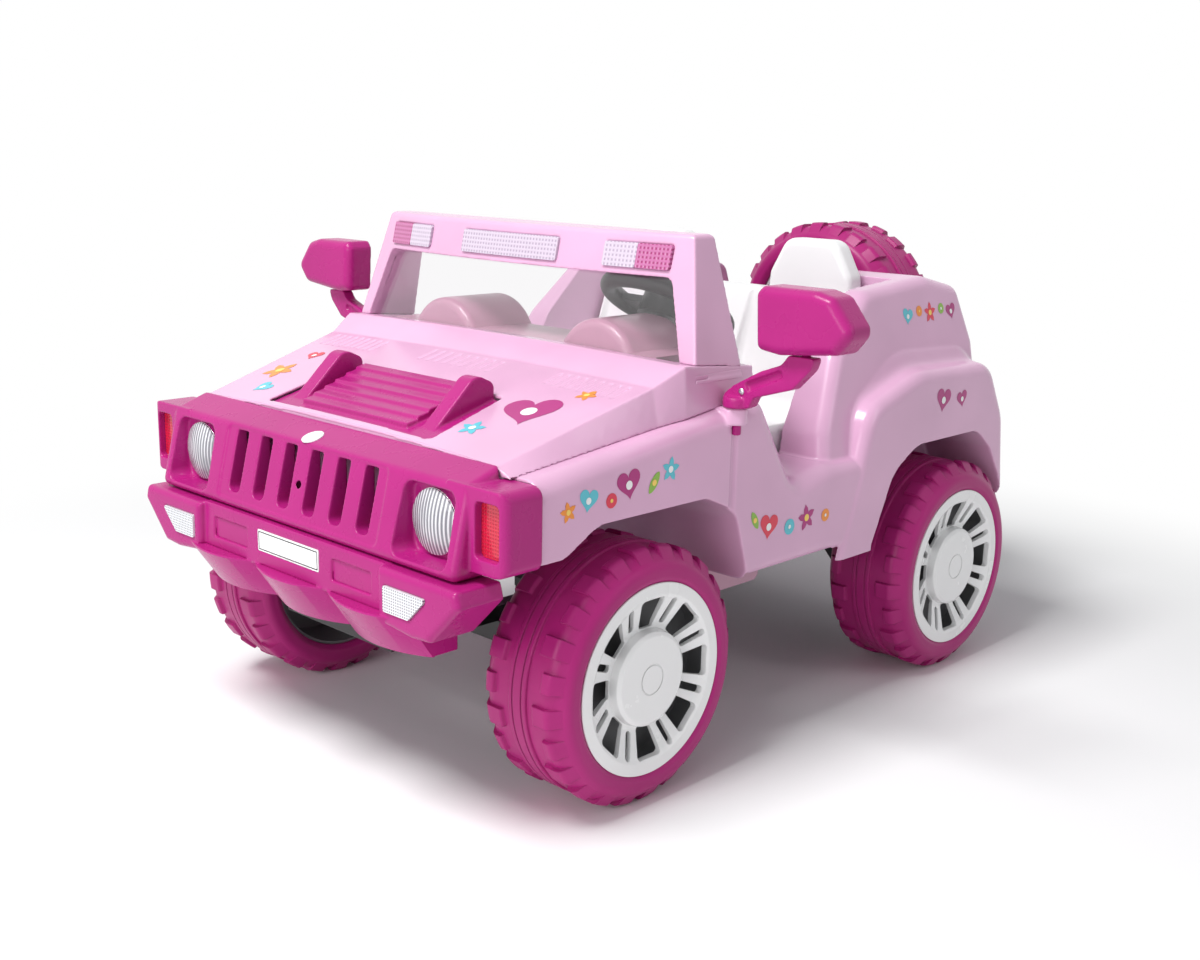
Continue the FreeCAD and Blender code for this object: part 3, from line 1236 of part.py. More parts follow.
def dashboard():
    low = crest(COCKPIT_FRONT) + SEAT_GAP
    front = COWL_LINE + 30
    half = BONNET_HALF_TOP - 6
    points = [(front, low), (COCKPIT_FRONT + 4, low), (COCKPIT_FRONT + 4, low - 40), (DASH_BACK, low - 30),
              (DASH_BACK + 4, low + 24), (DASH_BACK - 14, DASH_TOP), (front, DASH_TOP)]
    outside = prism(points, [0, 0, 0, 10, 16, 16, 0], on_yz, 2 - COCKPIT_HALF, COCKPIT_HALF - 2)
    pieces = [outside]
    for x in (-COLUMN_X, COLUMN_X):
        hump = rod(Vector(x, front, DASH_TOP - 36), Vector(x, DASH_BACK - 2, DASH_TOP - 36), HUMP_RADIUS)
        hump = soften(hump, 12, lambda b: b.YLength < 1e-6 and b.ZLength > HUMP_RADIUS)
        below = box(-half, half, 0, 2 * DASH_BACK, 0, DASH_TOP - 20)
        pieces.append(hump.cut(below))
    column = rod(*column_ends(), COLUMN_RADIUS + PLAY)
    axis, _ = column_axis()
    nave = Vector(COLUMN_X, WHEEL_Y, WHEEL_Z)
    turning_room = rod(nave - axis * 26, nave + axis * 60, STEERING_RADIUS + 6)
    cavity = box(2 + 2 * WALL - COCKPIT_HALF, COCKPIT_HALF - 2 * WALL - 2, front + WALL, COCKPIT_FRONT - WALL,
                 low - WALL, DASH_TOP - WALL)
    domes = []
    for x in (-COLUMN_X, COLUMN_X):
        middle = Vector(x, front + WALL, DASH_TOP - 36)
        dome_room = rod(middle, middle + BACK * (DASH_BACK - front - 30), HUMP_RADIUS - WALL)
        domes.append(dome_room.cut(box(-half, half, 0, 2 * DASH_BACK, 0, DASH_TOP - 20)))
    return fused(pieces).cut([column, turning_room, cavity] + domes)


# Drive
def rear_axle():
    reach = TRACK_X - TYRE_WIDTH / 2 + HUB_END + NUT_LENGTH + 1
    return rod(Vector(-reach, WHEELBASE, TYRE_RADIUS), Vector(reach, WHEELBASE, TYRE_RADIUS), AXLE_RADIUS)


def gearbox():
    """Housing round the last gear on the axle and the motor pinion above and ahead of it."""
    axle = Vector(GEAR_IN, WHEELBASE, TYRE_RADIUS)
    motor = axle + Vector(0, MOTOR_Y, MOTOR_Z)
    deep = LEFT * (GEAR_OUT - GEAR_IN)
    big = rod(axle, axle + deep, GEAR_BIG)
    small = rod(motor, motor + deep, GEAR_SMALL)
    way = (motor - axle).normalize()
    side = way.cross(LEFT)
    corners = [axle + side * GEAR_BIG, motor + side * GEAR_SMALL, motor - side * GEAR_SMALL,
               axle - side * GEAR_BIG,
               axle + side * GEAR_BIG]
    web = Part.Face(Part.makePolygon(corners)).extrude(deep)
    housing = fused([big, small, web])
    outer = GEAR_OUT
    housing = soften(housing, 4, lambda b: b.XLength < 1e-6 and abs(b.XMin - outer) < 1e-6)
    face = TRACK_X - TYRE_WIDTH / 2 - SEAT_GAP
    boss = rod(axle + deep, Vector(face, axle.y, axle.z), HUB_RADIUS)
    solid = fused([housing, boss])
    return solid.cut(rod(axle - LEFT * 10, axle + LEFT * TRACK_X, AXLE_RADIUS))


def motor():
    centre = Vector(GEAR_IN, WHEELBASE + MOTOR_Y, TYRE_RADIUS + MOTOR_Z)
    can = rod(centre - LEFT * MOTOR_LONG, centre, MOTOR_RADIUS)
    can = soften(can, 4, lambda b: b.XLength < 1e-6 and b.XMin < GEAR_IN - 10)
    tail = rod(centre - LEFT * (MOTOR_LONG + 8), centre - LEFT * MOTOR_LONG, 8)
    return fused([can, tail])


def battery():
    low = RAIL_HIGH + TRAY_THICK
    back = BATTERY_FRONT + BATTERY_LONG
    case = box(-BATTERY_HALF, BATTERY_HALF, BATTERY_FRONT, back, low, low + BATTERY_TALL)
    case = soften(case, 3, lambda b: b.ZLength > 10)
    lid = box(4 - BATTERY_HALF, BATTERY_HALF - 4, BATTERY_FRONT + 4, back - 4, low + BATTERY_TALL,
              low + BATTERY_TALL + 6)
    posts = []
    for x in (20 - BATTERY_HALF, BATTERY_HALF - 20):
        foot = Vector(x, BATTERY_FRONT + 18, low + BATTERY_TALL)
        posts.append(rod(foot, foot + UP * 12, 5))
    return fused([case, lid] + posts)


def battery_strap():
    low = RAIL_HIGH + TRAY_THICK
    top = low + BATTERY_TALL + 6
    middle = BATTERY_FRONT + BATTERY_LONG / 2 + 8
    half = BATTERY_HALF
    t = STRAP_THICK
    band = box(-half - t, half + t, middle - STRAP_WIDE / 2, middle + STRAP_WIDE / 2, low, top + t)
    band = band.cut(box(-half, half, 0, 2 * middle, 0, top))
    feet = []
    for x0 in (-half - 18, half):
        feet.append(box(x0, x0 + 18, middle - STRAP_WIDE / 2, middle + STRAP_WIDE / 2, low, low + t))
    return fused([band] + feet)


# Tail
def rear_bumper():
    points = [(QUARTER_BACK, TAIL_LOW), (TAIL_BACK, TAIL_LOW + 6), (TAIL_BACK, TAIL_TOP - 12),
              (TAIL_BACK - 12, TAIL_TOP), (QUARTER_BACK, TAIL_TOP)]
    outside = block(points, [0, 4, 0, 0, 0], TAIL_HALF, 10, 0, [0] * 5)
    seat_cut = tail_lamp(0, TAIL_BACK + 20)
    hollow = prism(inset(points, [WALL, 2 * WALL, WALL, WALL, -30]), 0, on_yz, WALL - TAIL_HALF,
                   TAIL_HALF - WALL)
    hollow = hollow.cut(spare_space(WALL))
    return outside.cut([flare_block(0), hollow, seat_cut, mirrored(seat_cut), spare_space(0)])


def tail_lamp(gap, back):
    """Block of one tail lamp, from its seat in the bumper to a level behind it."""
    x0 = TAIL_HALF - 92 + gap
    x1 = TAIL_HALF - 24 - gap
    z0 = TAIL_TOP - 62 + gap
    z1 = TAIL_TOP - 22 - gap
    return prism([(x0, z0), (x1, z0), (x1, z1), (x0, z1)], 6, on_xz, TAIL_BACK - 5, back)


def tail_lamp_lenses():
    return both(tail_lamp(SEAT_GAP, TAIL_BACK + 2))


def spare_carrier():
    """Boss on the tail wall with a bolt and knob that hold the spare wheel."""
    back = WHEELBASE + REAR_OVERHANG
    face = back - TYRE_WIDTH
    hub = Vector(0, face, SPARE_Z)
    boss = rod(Vector(0, QUARTER_BACK - 40, SPARE_Z), hub - BACK * SEAT_GAP, HUB_RADIUS + 16)
    boss = boss.cut(quarter_block(0))
    bolt = rod(hub - BACK * PLAY, hub + BACK * (HUB_END + 10), AXLE_RADIUS)
    knob = rod(hub + BACK * (HUB_END + SEAT_GAP), hub + BACK * (HUB_END + 12), AXLE_RADIUS + 8)
    return fused([boss, bolt, knob])


# Mirrors
def mirror_arm():
    """Swan-neck arm that turns on a pin in the body's bracket."""
    foot = MIRROR_FOOT_Z
    top = HEAD_LOW - SEAT_GAP
    points = [(MIRROR_PIVOT_X - 16, foot + 2), (MIRROR_PIVOT_X + 24, foot + 2),
              (MIRROR_PIVOT_X + 30, foot + 16),
              (HEAD_PIVOT_X - 12, foot + 34), (HEAD_PIVOT_X + 13, foot + 60), (HEAD_PIVOT_X + 18, top),
              (HEAD_PIVOT_X - 20, top), (HEAD_PIVOT_X - 30, foot + 62), (HEAD_PIVOT_X - 62, foot + 50),
              (MIRROR_PIVOT_X - 2, foot + 28), (MIRROR_PIVOT_X - 16, foot + 16)]
    radii = [0, 6, 8, 12, 10, 3, 3, 12, 14, 12, 5]
    half = MIRROR_ARM_THICK / 2
    arm = prism(points, radii, on_xz, MIRROR_PIVOT_Y - half, MIRROR_PIVOT_Y + half)
    groove = prism([(MIRROR_PIVOT_X + 22, foot + 22), (HEAD_PIVOT_X - 26, foot + 46),
                    (HEAD_PIVOT_X - 30, foot + 56),
                    (MIRROR_PIVOT_X + 16, foot + 33)], 3, on_xz, MIRROR_PIVOT_Y - half - 1,
                    MIRROR_PIVOT_Y - half + 4)
    base = Vector(MIRROR_PIVOT_X, MIRROR_PIVOT_Y, foot)
    collar = rod(base, base + UP * 14, 19)
    collar = soften(collar, 3, lambda b: b.ZMin > foot + 10 and b.ZLength < 1e-3)
    pin = rod(base - UP * 36, base + UP * 4, MIRROR_PIN)
    tip = Vector(HEAD_PIVOT_X, MIRROR_PIVOT_Y, top)
    peg = rod(tip - UP * 8, tip + UP * 26, HEAD_PIN)
    return fused([arm.cut(groove), collar, pin, peg])


def mirror_head():
    """Hollow housing with a shallow seat for the mirror in its back, and a socket on the arm's peg."""
    points = [(HEAD_IN + 4, HEAD_LOW + 4), (HEAD_IN + 36, HEAD_LOW), (HEAD_OUT - 22, HEAD_LOW + 9),
              (HEAD_OUT, HEAD_LOW + 36), (HEAD_OUT - 32, HEAD_TOP - 6), (HEAD_OUT - 56, HEAD_TOP),
              (HEAD_IN + 8, HEAD_TOP),
              (HEAD_IN, HEAD_TOP - 10)]
    radii = [8, 12, 14, 14, 14, 10, 6, 6]
    front = MIRROR_PIVOT_Y - 0.6 * HEAD_DEEP
    back = front + HEAD_DEEP
    shell = prism(points, radii, on_xz, front, back)
    shell = soften(shell, 12, lambda b: b.YLength < 1e-6 and abs(b.YMin - front) < 1e-6)
    slim = inset(points, [WALL] * 8)
    slim_radii = [radius - WALL for radius in radii]
    seat = back - MIRROR_SEAT
    inner = prism(slim, slim_radii, on_xz, front + 2 * WALL, seat - WALL)
    recess = prism(slim, slim_radii, on_xz, seat, back + PLAY)
    base = Vector(HEAD_PIVOT_X, MIRROR_PIVOT_Y, HEAD_LOW - 2)
    socket = rod(base, base + UP * 34, HEAD_PIN + 5).common(shell)
    bore = rod(base - UP * 4, base + UP * 29, HEAD_PIN + RUN_FIT)
    return fused([shell.cut([inner, recess]), socket]).cut(bore)


def left_and_right(name, shape):
    return {name + "_left": shape, name + "_right": mirrored(shape)}


def wheels():
    """Tyre, core and trim of the four road wheels."""
    made = {"tyre": tyre(), "wheel_core": wheel_core(), "wheel_trim": wheel_trim()}
    placed = {}
    for end, y in (("front", 0), ("rear", WHEELBASE)):
        for side in ("left", "right"):
            for name, shape in made.items():
                placed["_".join((name, end, side))] = at_wheel(shape, y, side)
    placed["spare_tyre"] = at_spare(made["tyre"])
    placed["spare_wheel_trim"] = at_spare(fused([made["wheel_core"], made["wheel_trim"]]))
    nut = wheel_nut()
    placed["wheel_nut_left"] = at_wheel(nut, 0, "left")
    placed["wheel_nut_right"] = at_wheel(nut, 0, "right")
    placed["rear_wheel_nuts"] = both(at_wheel(nut, WHEELBASE, "left"))
    return placed


def all_pieces():
    single = [body_shell, bonnet, bonnet_scoop, windscreen_frame, windscreen, roof_lamps_clear,
              roof_lamps_pink,
              grille_panel, headlamp_reflectors, headlamp_lenses, marker_lenses, front_bumper, number_plate,
              fog_lamp_lenses, chassis_frame, front_axle_beam, kingpins, tie_rod, steering_column,
              column_bracket,
              steering_wheel, horn_button, floor_pan, accelerator_pedal, gear_lever, seat, dashboard,
              rear_axle,
              battery, battery_strap, rear_bumper, tail_lamp_lenses, spare_carrier]
    pieces = {make.__name__: make() for make in single}
    for make in (knuckle, gearbox, motor, mirror_arm, mirror_head):
        pieces.update(left_and_right(make.__name__, make()))
    pieces.update(wheels())
    return pieces


def save(pieces):
    os.makedirs("parts", exist_ok=True)
    for name, shape in pieces.items():
        shape.translated(Vector(0, -MIDDLE_Y, 0)).exportStep("parts/" + name + ".step")


save(all_pieces())
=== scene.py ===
import math

import bpy
from mathutils import Matrix, Vector
from mathutils.bvhtree import BVHTree


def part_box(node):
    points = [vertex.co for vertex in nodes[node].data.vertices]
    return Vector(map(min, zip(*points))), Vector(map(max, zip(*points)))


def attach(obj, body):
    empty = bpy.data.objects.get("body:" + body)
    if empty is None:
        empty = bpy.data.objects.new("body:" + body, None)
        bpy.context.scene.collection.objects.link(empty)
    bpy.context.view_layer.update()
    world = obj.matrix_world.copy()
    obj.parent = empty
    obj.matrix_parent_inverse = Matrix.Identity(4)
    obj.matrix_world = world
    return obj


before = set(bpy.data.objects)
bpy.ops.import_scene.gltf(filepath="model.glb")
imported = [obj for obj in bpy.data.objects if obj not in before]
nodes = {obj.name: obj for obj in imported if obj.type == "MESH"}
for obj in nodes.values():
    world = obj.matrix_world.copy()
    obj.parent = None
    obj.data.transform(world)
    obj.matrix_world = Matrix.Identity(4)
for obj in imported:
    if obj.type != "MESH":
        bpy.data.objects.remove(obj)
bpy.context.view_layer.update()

# Colours, linear
PALE_PINK = (0.69, 0.395, 0.58)
# Pale pink darkened as painted shade, for the cabin pieces that sit in shadow
SHADED_CABIN_PINK = (0.56, 0.29, 0.40)
MAGENTA = (0.40, 0.014, 0.180)
TYRE_MAGENTA = (0.39, 0.016, 0.165)
MAUVE = (0.56, 0.30, 0.46)
WHITE = (0.86, 0.86, 0.86)
# Grey of the battery; on the wheel cores the same grey is painted shade in the recess behind the white
# spokes
GREY_AND_WHEEL_SHADE = (0.16, 0.16, 0.165)
BLACK = (0.012, 0.012, 0.013)
STEEL = (0.58, 0.59, 0.61)
REFLECTOR = (0.86, 0.87, 0.89)
RED = (0.60, 0.012, 0.045)
TURQUOISE = (0.10, 0.52, 0.62)
ORANGE = (0.85, 0.27, 0.03)
YELLOW = (0.90, 0.62, 0.12)
GREEN = (0.25, 0.46, 0.06)
CHERRY = (0.70, 0.03, 0.07)

# Camera of the photograph
CAMERA_AT = (1.45193, -1.55253, 0.80002)
CAMERA_AZIMUTH = 43.84453
CAMERA_ELEVATION = 13.40453
CAMERA_ROLL = 1.26303
CAMERA_LENS = 42.568

# Softened mouldings: cell of the new skin in metres, passes of smoothing, share of faces kept
SOFT_MOULDINGS = {
    "body_shell": (0.0020, 6, 0.10),
    "bonnet": (0.0015, 6, 0.20),
    "windscreen_frame": (0.0015, 8, 0.20),
    "seat": (0.0020, 10, 0.20),
    "grille_panel": (0.0015, 8, 0.25),
    "front_bumper": (0.0011, 14, 0.14),
    "rear_bumper": (0.0015, 8, 0.25),
    "bonnet_scoop": (0.0015, 6, 0.25),
    "mirror_head_left": (0.0015, 18, 0.25),
    "mirror_head_right": (0.0015, 18, 0.25),
    "mirror_arm_left": (0.0015, 6, 0.25),
    "mirror_arm_right": (0.0015, 6, 0.25),
}

# Pitch of the ribs in the lamp lenses, metres
PIN_PITCH = 0.0058
MARKER_PITCH = 0.0042
FLUTE_PITCH = 0.0055
FOG_PITCH_ACROSS = 0.0040
FOG_PITCH_UP = 0.0034

# Mirror foil: depth of its seat, metres; how near and how square a face has to be to count as the seat
MIRROR_SEAT = 0.003
SEAT_NEAR = 0.0006
SEAT_FACING = 0.99

# Screw in the left mirror arm's foot and disc over the grille: profiles of (radius, along) in metres,
# the ray that finds the disc's place, and the angle in degrees from which an edge stays sharp
SCREW_AT = (0.378, -0.186, 0.504)
SCREW_PROFILE = [(0.0042, 0), (0.0042, 0.0008), (0.0032, 0.0018), (0.0012, 0.0020), (0.0011, 0.0008)]
BADGE_FROM = (0, -0.62, 0.52)
BADGE_WAY = (0, 0.6, -0.8)
BADGE_PROFILE = [(0.0145, 0), (0.0145, 0.0012), (0.0128, 0.0019), (0.0124, 0.0014), (0.0001, 0.0014)]
TURNED_SHARP = 40

# Line round the plate, metres
PLATE_LINE = 0.0012
PLATE_GAP = 0.0022
PLATE_LIFT = 0.0003

# Shallow pockets beside the plate: low and high corner of the left one's floor, metres
POCKET_LOW = (0.090, -0.5958, 0.278)
POCKET_HIGH = (0.172, -0.5935, 0.310)

# Turned-down front edge of the bonnet, metres, its steps, and the height its rays start from
FLANGE_HALF = 0.300
FLANGE_LOW = 0.436
FLANGE_THICK = 0.003
FLANGE_INSET = 0.0008
FLANGE_STEPS = 40
OVERHEAD = 0.9

# Lower lip of the front bumper: metres, number of bulges and steps, run back per drop, sharp edge in degrees
LIP_HALF = 0.236
LIP_TOP = 0.2662
LIP_BACK = -0.595
LIP_BULGES = 3
LIP_WAVE = 0.022
LIP_LEAN = 0.7
LIP_THICK = 0.003
LIP_RIM = 0.002
LIP_PROUD = 0.0005
LIP_STEPS = 96
LIP_SHARP = 50

# Prints on the left flank, mirrored on the right: y, z, motif, size, colour, spot colour, tilt
FLANK_MOTIFS = [
    (-0.470, 0.396, "star", 0.013, "orange", "yellow", 12),
    (-0.438, 0.404, "heart", 0.016, "turquoise", "white", -10),
    (-0.400, 0.398, "dot", 0.009, "cherry", "yellow", 0),
    (-0.371, 0.412, "heart", 0.021, "magenta", "white", 8),
    (-0.327, 0.408, "leaf", 0.015, "green", "yellow", -35),
    (-0.298, 0.420, "star", 0.016, "turquoise", "white", -8),
    (-0.128, 0.326, "leaf", 0.014, "green", "yellow", 30),
    (-0.098, 0.312, "heart", 0.020, "cherry", "white", -8),
    (-0.052, 0.304, "dot", 0.011, "turquoise", "white", 0),
    (-0.014, 0.310, "star", 0.019, "magenta", "yellow", 10),
    (0.030, 0.306, "dot", 0.009, "orange", "white", 0),
    (0.290, 0.556, "heart", 0.014, "turquoise", "white", -10),
    (0.322, 0.562, "dot", 0.008, "orange", "yellow", 0),
    (0.352, 0.558, "star", 0.016, "cherry", "yellow", 0),
    (0.384, 0.562, "dot", 0.008, "green", "white", 0),
    (0.412, 0.556, "heart", 0.014, "magenta", "white", 10),
    (0.318, 0.434, "heart", 0.021, "magenta", "white", -8),
    (0.372, 0.430, "heart", 0.015, "magenta", "white", 10),
]

# Prints on the bonnet: x, y, motif, size, colour, spot colour, tilt
BONNET_MOTIFS = [
    (0.228, -0.404, "heart", 0.040, "magenta", "white", 24),
    (0.196, -0.466, "star", 0.018, "turquoise", "white", 10),
    (0.262, -0.340, "star", 0.015, "orange", "yellow", -10),
    (-0.262, -0.430, "star", 0.026, "orange", "yellow", -14),
    (-0.226, -0.482, "heart", 0.017, "turquoise", "white", -24),
    (-0.258, -0.374, "heart", 0.015, "cherry", "white", 12),
]
SPOT_SHARE = 0.26

# How a print is laid on: rings from rim to middle, lift off the skin, where its rays start, metres
PRINT_RINGS = (1.0, 0.72, 0.44, 0.16)
PRINT_LIFT = 0.0004
SPOT_LIFT = 0.0007
PRINT_REACH = 0.25
FLANK_X = 0.30
BONNET_Z = 0.45

# Studio: place, aim and size of each softbox in metres, power in watts
SOFTBOXES = {
    "key": ((-0.2, -2.4, 4.1), (0, 0, 0.2), (1.7, 1.3), 184),
    "front fill": ((0.6, -3.4, 1.3), (0, 0, 0.35), (2.2, 1.2), 36),
    "side edge": ((3.0, 0.9, 1.9), (0, 0.1, 0.4), (0.7, 2.2), 7),
}
WORLD_COLOUR = (0.95, 0.97, 1.0)
WORLD_STRENGTH = 0.34
FLOOR_COLOUR = (0.92, 0.92, 0.92)
FLOOR_SIZE = 60
FLOOR_FADE = (0.9, 1.7)


# Shader helpers
def add(tree, kind, settings=None, **sockets):
    """New shader node; settings are its properties, sockets its fixed inputs (spaces as underscores)."""
    node = tree.nodes.new("ShaderNode" + kind)
    for name, value in (settings or {}).items():
        setattr(node, name, value)
    for name, value in sockets.items():
        node.inputs[name.replace("_", " ")].default_value = value
    return node


def join(tree, start, end):
    """Link an output to an input."""
    tree.links.new(start, end)


def opaque(colour, scale=1.0):
    """Colour with full alpha, lighter or darker by a scale."""
    return tuple(min(1.0, part * scale) for part in colour) + (1.0,)


def blank(name):
    """Material with an output and nothing else."""
    made = bpy.data.materials.new(name)
    made.use_nodes = True
    tree = made.node_tree
    tree.nodes.clear()
    return made, tree, add(tree, "OutputMaterial")


def principled(name):
    made, tree, out = blank(name)
    surface = add(tree, "BsdfPrincipled")
    join(tree, surface.outputs[0], out.inputs["Surface"])
    return made, tree, surface


def mixed(tree, share, first, second):
    """One shader running into another by a share of 0..1."""
    mix = add(tree, "MixShader")
    join(tree, share, mix.inputs[0])
    join(tree, first.outputs[0], mix.inputs[1])
    join(tree, second.outputs[0], mix.inputs[2])
    return mix.outputs[0]


def noise(tree, scale, detail=2.0, stretch=(1, 1, 1)):
    """Noise over the object's own coordinates, 0..1."""
    place = add(tree, "TexCoord")
    spread = add(tree, "Mapping", Scale=stretch)
    join(tree, place.outputs["Object"], spread.inputs["Vector"])
    made = add(tree, "TexNoise", Scale=scale, Detail=detail)
    join(tree, spread.outputs[0], made.inputs["Vector"])
    return made.outputs[0]


def between(tree, factor, low, high, start=0.0):
    """Map a factor that runs from start to 1 to a range."""
    made = add(tree, "MapRange", From_Min=start, To_Min=low, To_Max=high)
    join(tree, factor, made.inputs["Value"])
    return made.outputs[0]


def tones(tree, factor, first, second):
    """Two colours run into each other by a factor."""
    made = add(tree, "ValToRGB")
    made.color_ramp.elements[0].position = 0.3
    made.color_ramp.elements[1].position = 0.7
    made.color_ramp.elements[0].color = first
    made.color_ramp.elements[1].color = second
    join(tree, factor, made.inputs[0])
    return made.outputs[0]


def relief(tree, surface, height, depth, strength, edge):
    """Bump from a height, over edges that are softened where they have a radius."""
    bump = add(tree, "Bump", Strength=strength, Distance=depth)
    join(tree, height, bump.inputs["Height"])
    join(tree, bump.outputs[0], surface.inputs["Normal"])
    if edge > 0:
        soft = add(tree, "Bevel", {"samples": 4}, Radius=edge)
        join(tree, soft.outputs[0], bump.inputs["Normal"])


def combined(tree, operation, first, second):
    """Two values put together by a named operation."""
    made = add(tree, "Math", {"operation": operation})
    join(tree, first, made.inputs[0])
    join(tree, second, made.inputs[1])
    return made.outputs[0]


def stripes(tree, axis, pitch):
    """Rounded ribs along one axis of the object, 0..1."""
    place = add(tree, "TexCoord")
    parts = add(tree, "SeparateXYZ")
    join(tree, place.outputs["Object"], parts.inputs[0])
    turns = add(tree, "Math", {"operation": "MULTIPLY"})
    turns.inputs[1].default_value = 2 * math.pi / pitch
    join(tree, parts.outputs[axis], turns.inputs[0])
    wave = add(tree, "Math", {"operation": "SINE"})
    join(tree, turns.outputs[0], wave.inputs[0])
    return between(tree, wave.outputs[0], 0.0, 1.0, -1.0)


# Materials
def moulded(name, colour, rough, coat=0.0, shine=0.5, grain=0.012, grain_scale=900, drift=0.05,
            edge=0.0015):
    """Moulded plastic: faint drift of tone, uneven gloss, fine grain, softened edges."""
    made, tree, surface = principled(name)
    shade = tones(tree, noise(tree, 7), opaque(colour, 1 - drift), opaque(colour, 1 + drift))
    join(tree, shade, surface.inputs["Base Color"])
    join(tree, between(tree, noise(tree, 24, 4), rough * 0.8, rough * 1.25), surface.inputs["Roughness"])
    surface.inputs["Specular IOR Level"].default_value = shine
    surface.inputs["Coat Weight"].default_value = coat
    surface.inputs["Coat Roughness"].default_value = 0.08
    relief(tree, surface, noise(tree, grain_scale, 3), 0.0004, grain, edge)
    return made


def metal(name, colour, rough, brushed=(1, 1, 14)):
    """Brushed or plain metal; brushed is how its grain is stretched."""
    made, tree, surface = principled(name)
    lines = noise(tree, 160, 3, brushed)
    join(tree, tones(tree, lines, opaque(colour, 0.88), opaque(colour, 1.05)), surface.inputs["Base Color"])
    join(tree, between(tree, lines, rough * 0.7, rough * 1.3), surface.inputs["Roughness"])
    surface.inputs["Metallic"].default_value = 1.0
    relief(tree, surface, lines, 0.0002, 0.05, 0.0008)
    return made


def ribbed_lens(name, colour, shade, ribs, depth):
    """Lamp lens whose ribs show as relief and as painted light: the colour on the crests, painted shade in
    the grooves; ribs makes the height from the tree.
    """
    made, tree, surface = principled(name)
    height = ribs(tree)
    # painted shade in the rib grooves, painted highlight on the crests
    join(tree, tones(tree, height, opaque(shade), opaque(colour)), surface.inputs["Base Color"])
    join(tree, between(tree, noise(tree, 60, 3), 0.06, 0.16), surface.inputs["Roughness"])
    surface.inputs["Coat Weight"].default_value = 0.6
    relief(tree, surface, height, depth, 0.6, 0.0006)
    return made


def grid_ribs(across, up):
    """Maker of a grid of fine ribs at two pitches."""
    def ribs(tree):
        return combined(tree, "MAXIMUM", stripes(tree, "X", across), stripes(tree, "Z", up))
    return ribs


def headlamp_ribs(tree):
    """Upright flutes, broken up by painted bright and dark patches that stand in for the reflections in the
    reflector behind them.
    """
    # painted reflection: bright and dark patches of the silver reflector seen through the lens
    painted_reflector_patches = between(tree, noise(tree, 38, 2, (1, 1, 0.4)), 0.2, 1.4)
    return combined(tree, "MULTIPLY", stripes(tree, "X", FLUTE_PITCH), painted_reflector_patches)


def clear_sheet(name):
    """Thin clear acrylic: mostly see-through, with a faint glossy sheen."""
    made, tree, out = blank(name)
    see = add(tree, "BsdfTransparent", Color=(0.97, 0.965, 0.97, 1))
    shine = add(tree, "BsdfGlossy", Color=(1, 1, 1, 1))
    join(tree, between(tree, noise(tree, 18, 3), 0.02, 0.07), shine.inputs["Roughness"])
    edge = add(tree, "LayerWeight", Blend=0.12)
    share = between(tree, edge.outputs["Facing"], 0.05, 0.30)
    join(tree, mixed(tree, share, see, shine), out.inputs["Surface"])
    return made


def mirror_silver(name):
    made, tree, surface = principled(name)
    streaks = noise(tree, 30, 3, (1, 1, 4))
    shade = tones(tree, streaks, opaque(REFLECTOR, 0.95), opaque(REFLECTOR))
    join(tree, shade, surface.inputs["Base Color"])
    join(tree, between(tree, streaks, 0.03, 0.08), surface.inputs["Roughness"])
    surface.inputs["Metallic"].default_value = 1.0
    return made


pin_ribs = grid_ribs(PIN_PITCH, PIN_PITCH)
marker_ribs = grid_ribs(MARKER_PITCH, MARKER_PITCH)
fog_ribs = grid_ribs(FOG_PITCH_ACROSS, FOG_PITCH_UP)

MATERIALS = {
    "pale_pink": moulded("pale pink plastic", PALE_PINK, 0.24, coat=0.2, edge=0),
    # pale pink plastic darkened as painted shade inside the cabin
    "shaded_cabin_pink": moulded("pale pink plastic with painted cabin shade", SHADED_CABIN_PINK, 0.34, coat=0.15, grain=0.06),
    "magenta": moulded("magenta plastic", MAGENTA, 0.27, coat=0.04, shine=0.25, edge=0),
    "tyre": moulded("magenta tyre plastic", TYRE_MAGENTA, 0.36, shine=0.25, grain=0.05, edge=0.0025),
    "mauve": moulded("mauve plastic", MAUVE, 0.28, coat=0.25, edge=0),
    "white": moulded("white plastic", WHITE, 0.25, coat=0.3, drift=0.02),
    "seat_white": moulded("seat plastic", WHITE, 0.30, coat=0.25, grain=0.05, drift=0.02, edge=0),
    # grey battery plastic, also used as painted shade for the wheel cores behind the spokes
    "grey": moulded("grey plastic and painted wheel shade", GREY_AND_WHEEL_SHADE, 0.45, grain=0.08),
    "black": moulded("black plastic", BLACK, 0.42, grain=0.12, grain_scale=600),
    "black_metal": moulded("black powder coat", BLACK, 0.38, grain=0.16, grain_scale=1200),
    "steel": metal("zinc plated steel", STEEL, 0.32),
    "silver": metal("metallised reflector", REFLECTOR, 0.12, (1, 1, 1)),
    # lamp lenses: crest colour, then painted shade for the rib grooves
    "headlamp": ribbed_lens("headlamp lens", (0.70, 0.70, 0.73), (0.20, 0.20, 0.23), headlamp_ribs, 0.0012),
    "fog": ribbed_lens("fog lamp lens", (0.72, 0.73, 0.76), (0.26, 0.26, 0.29), fog_ribs, 0.0010),
    "roof_clear": ribbed_lens("clear roof lens", (0.60, 0.52, 0.62), (0.40, 0.33, 0.43), pin_ribs, 0.0008),
    "roof_pink": ribbed_lens("magenta roof lens", (0.50, 0.14, 0.33), (0.30, 0.012, 0.13), pin_ribs, 0.0008),
    "red_lens": ribbed_lens("red lens", RED, (0.42, 0.008, 0.03), marker_ribs, 0.0006),
    "windscreen": clear_sheet("clear windscreen"),
    "mirror": mirror_silver("mirror foil"),
}

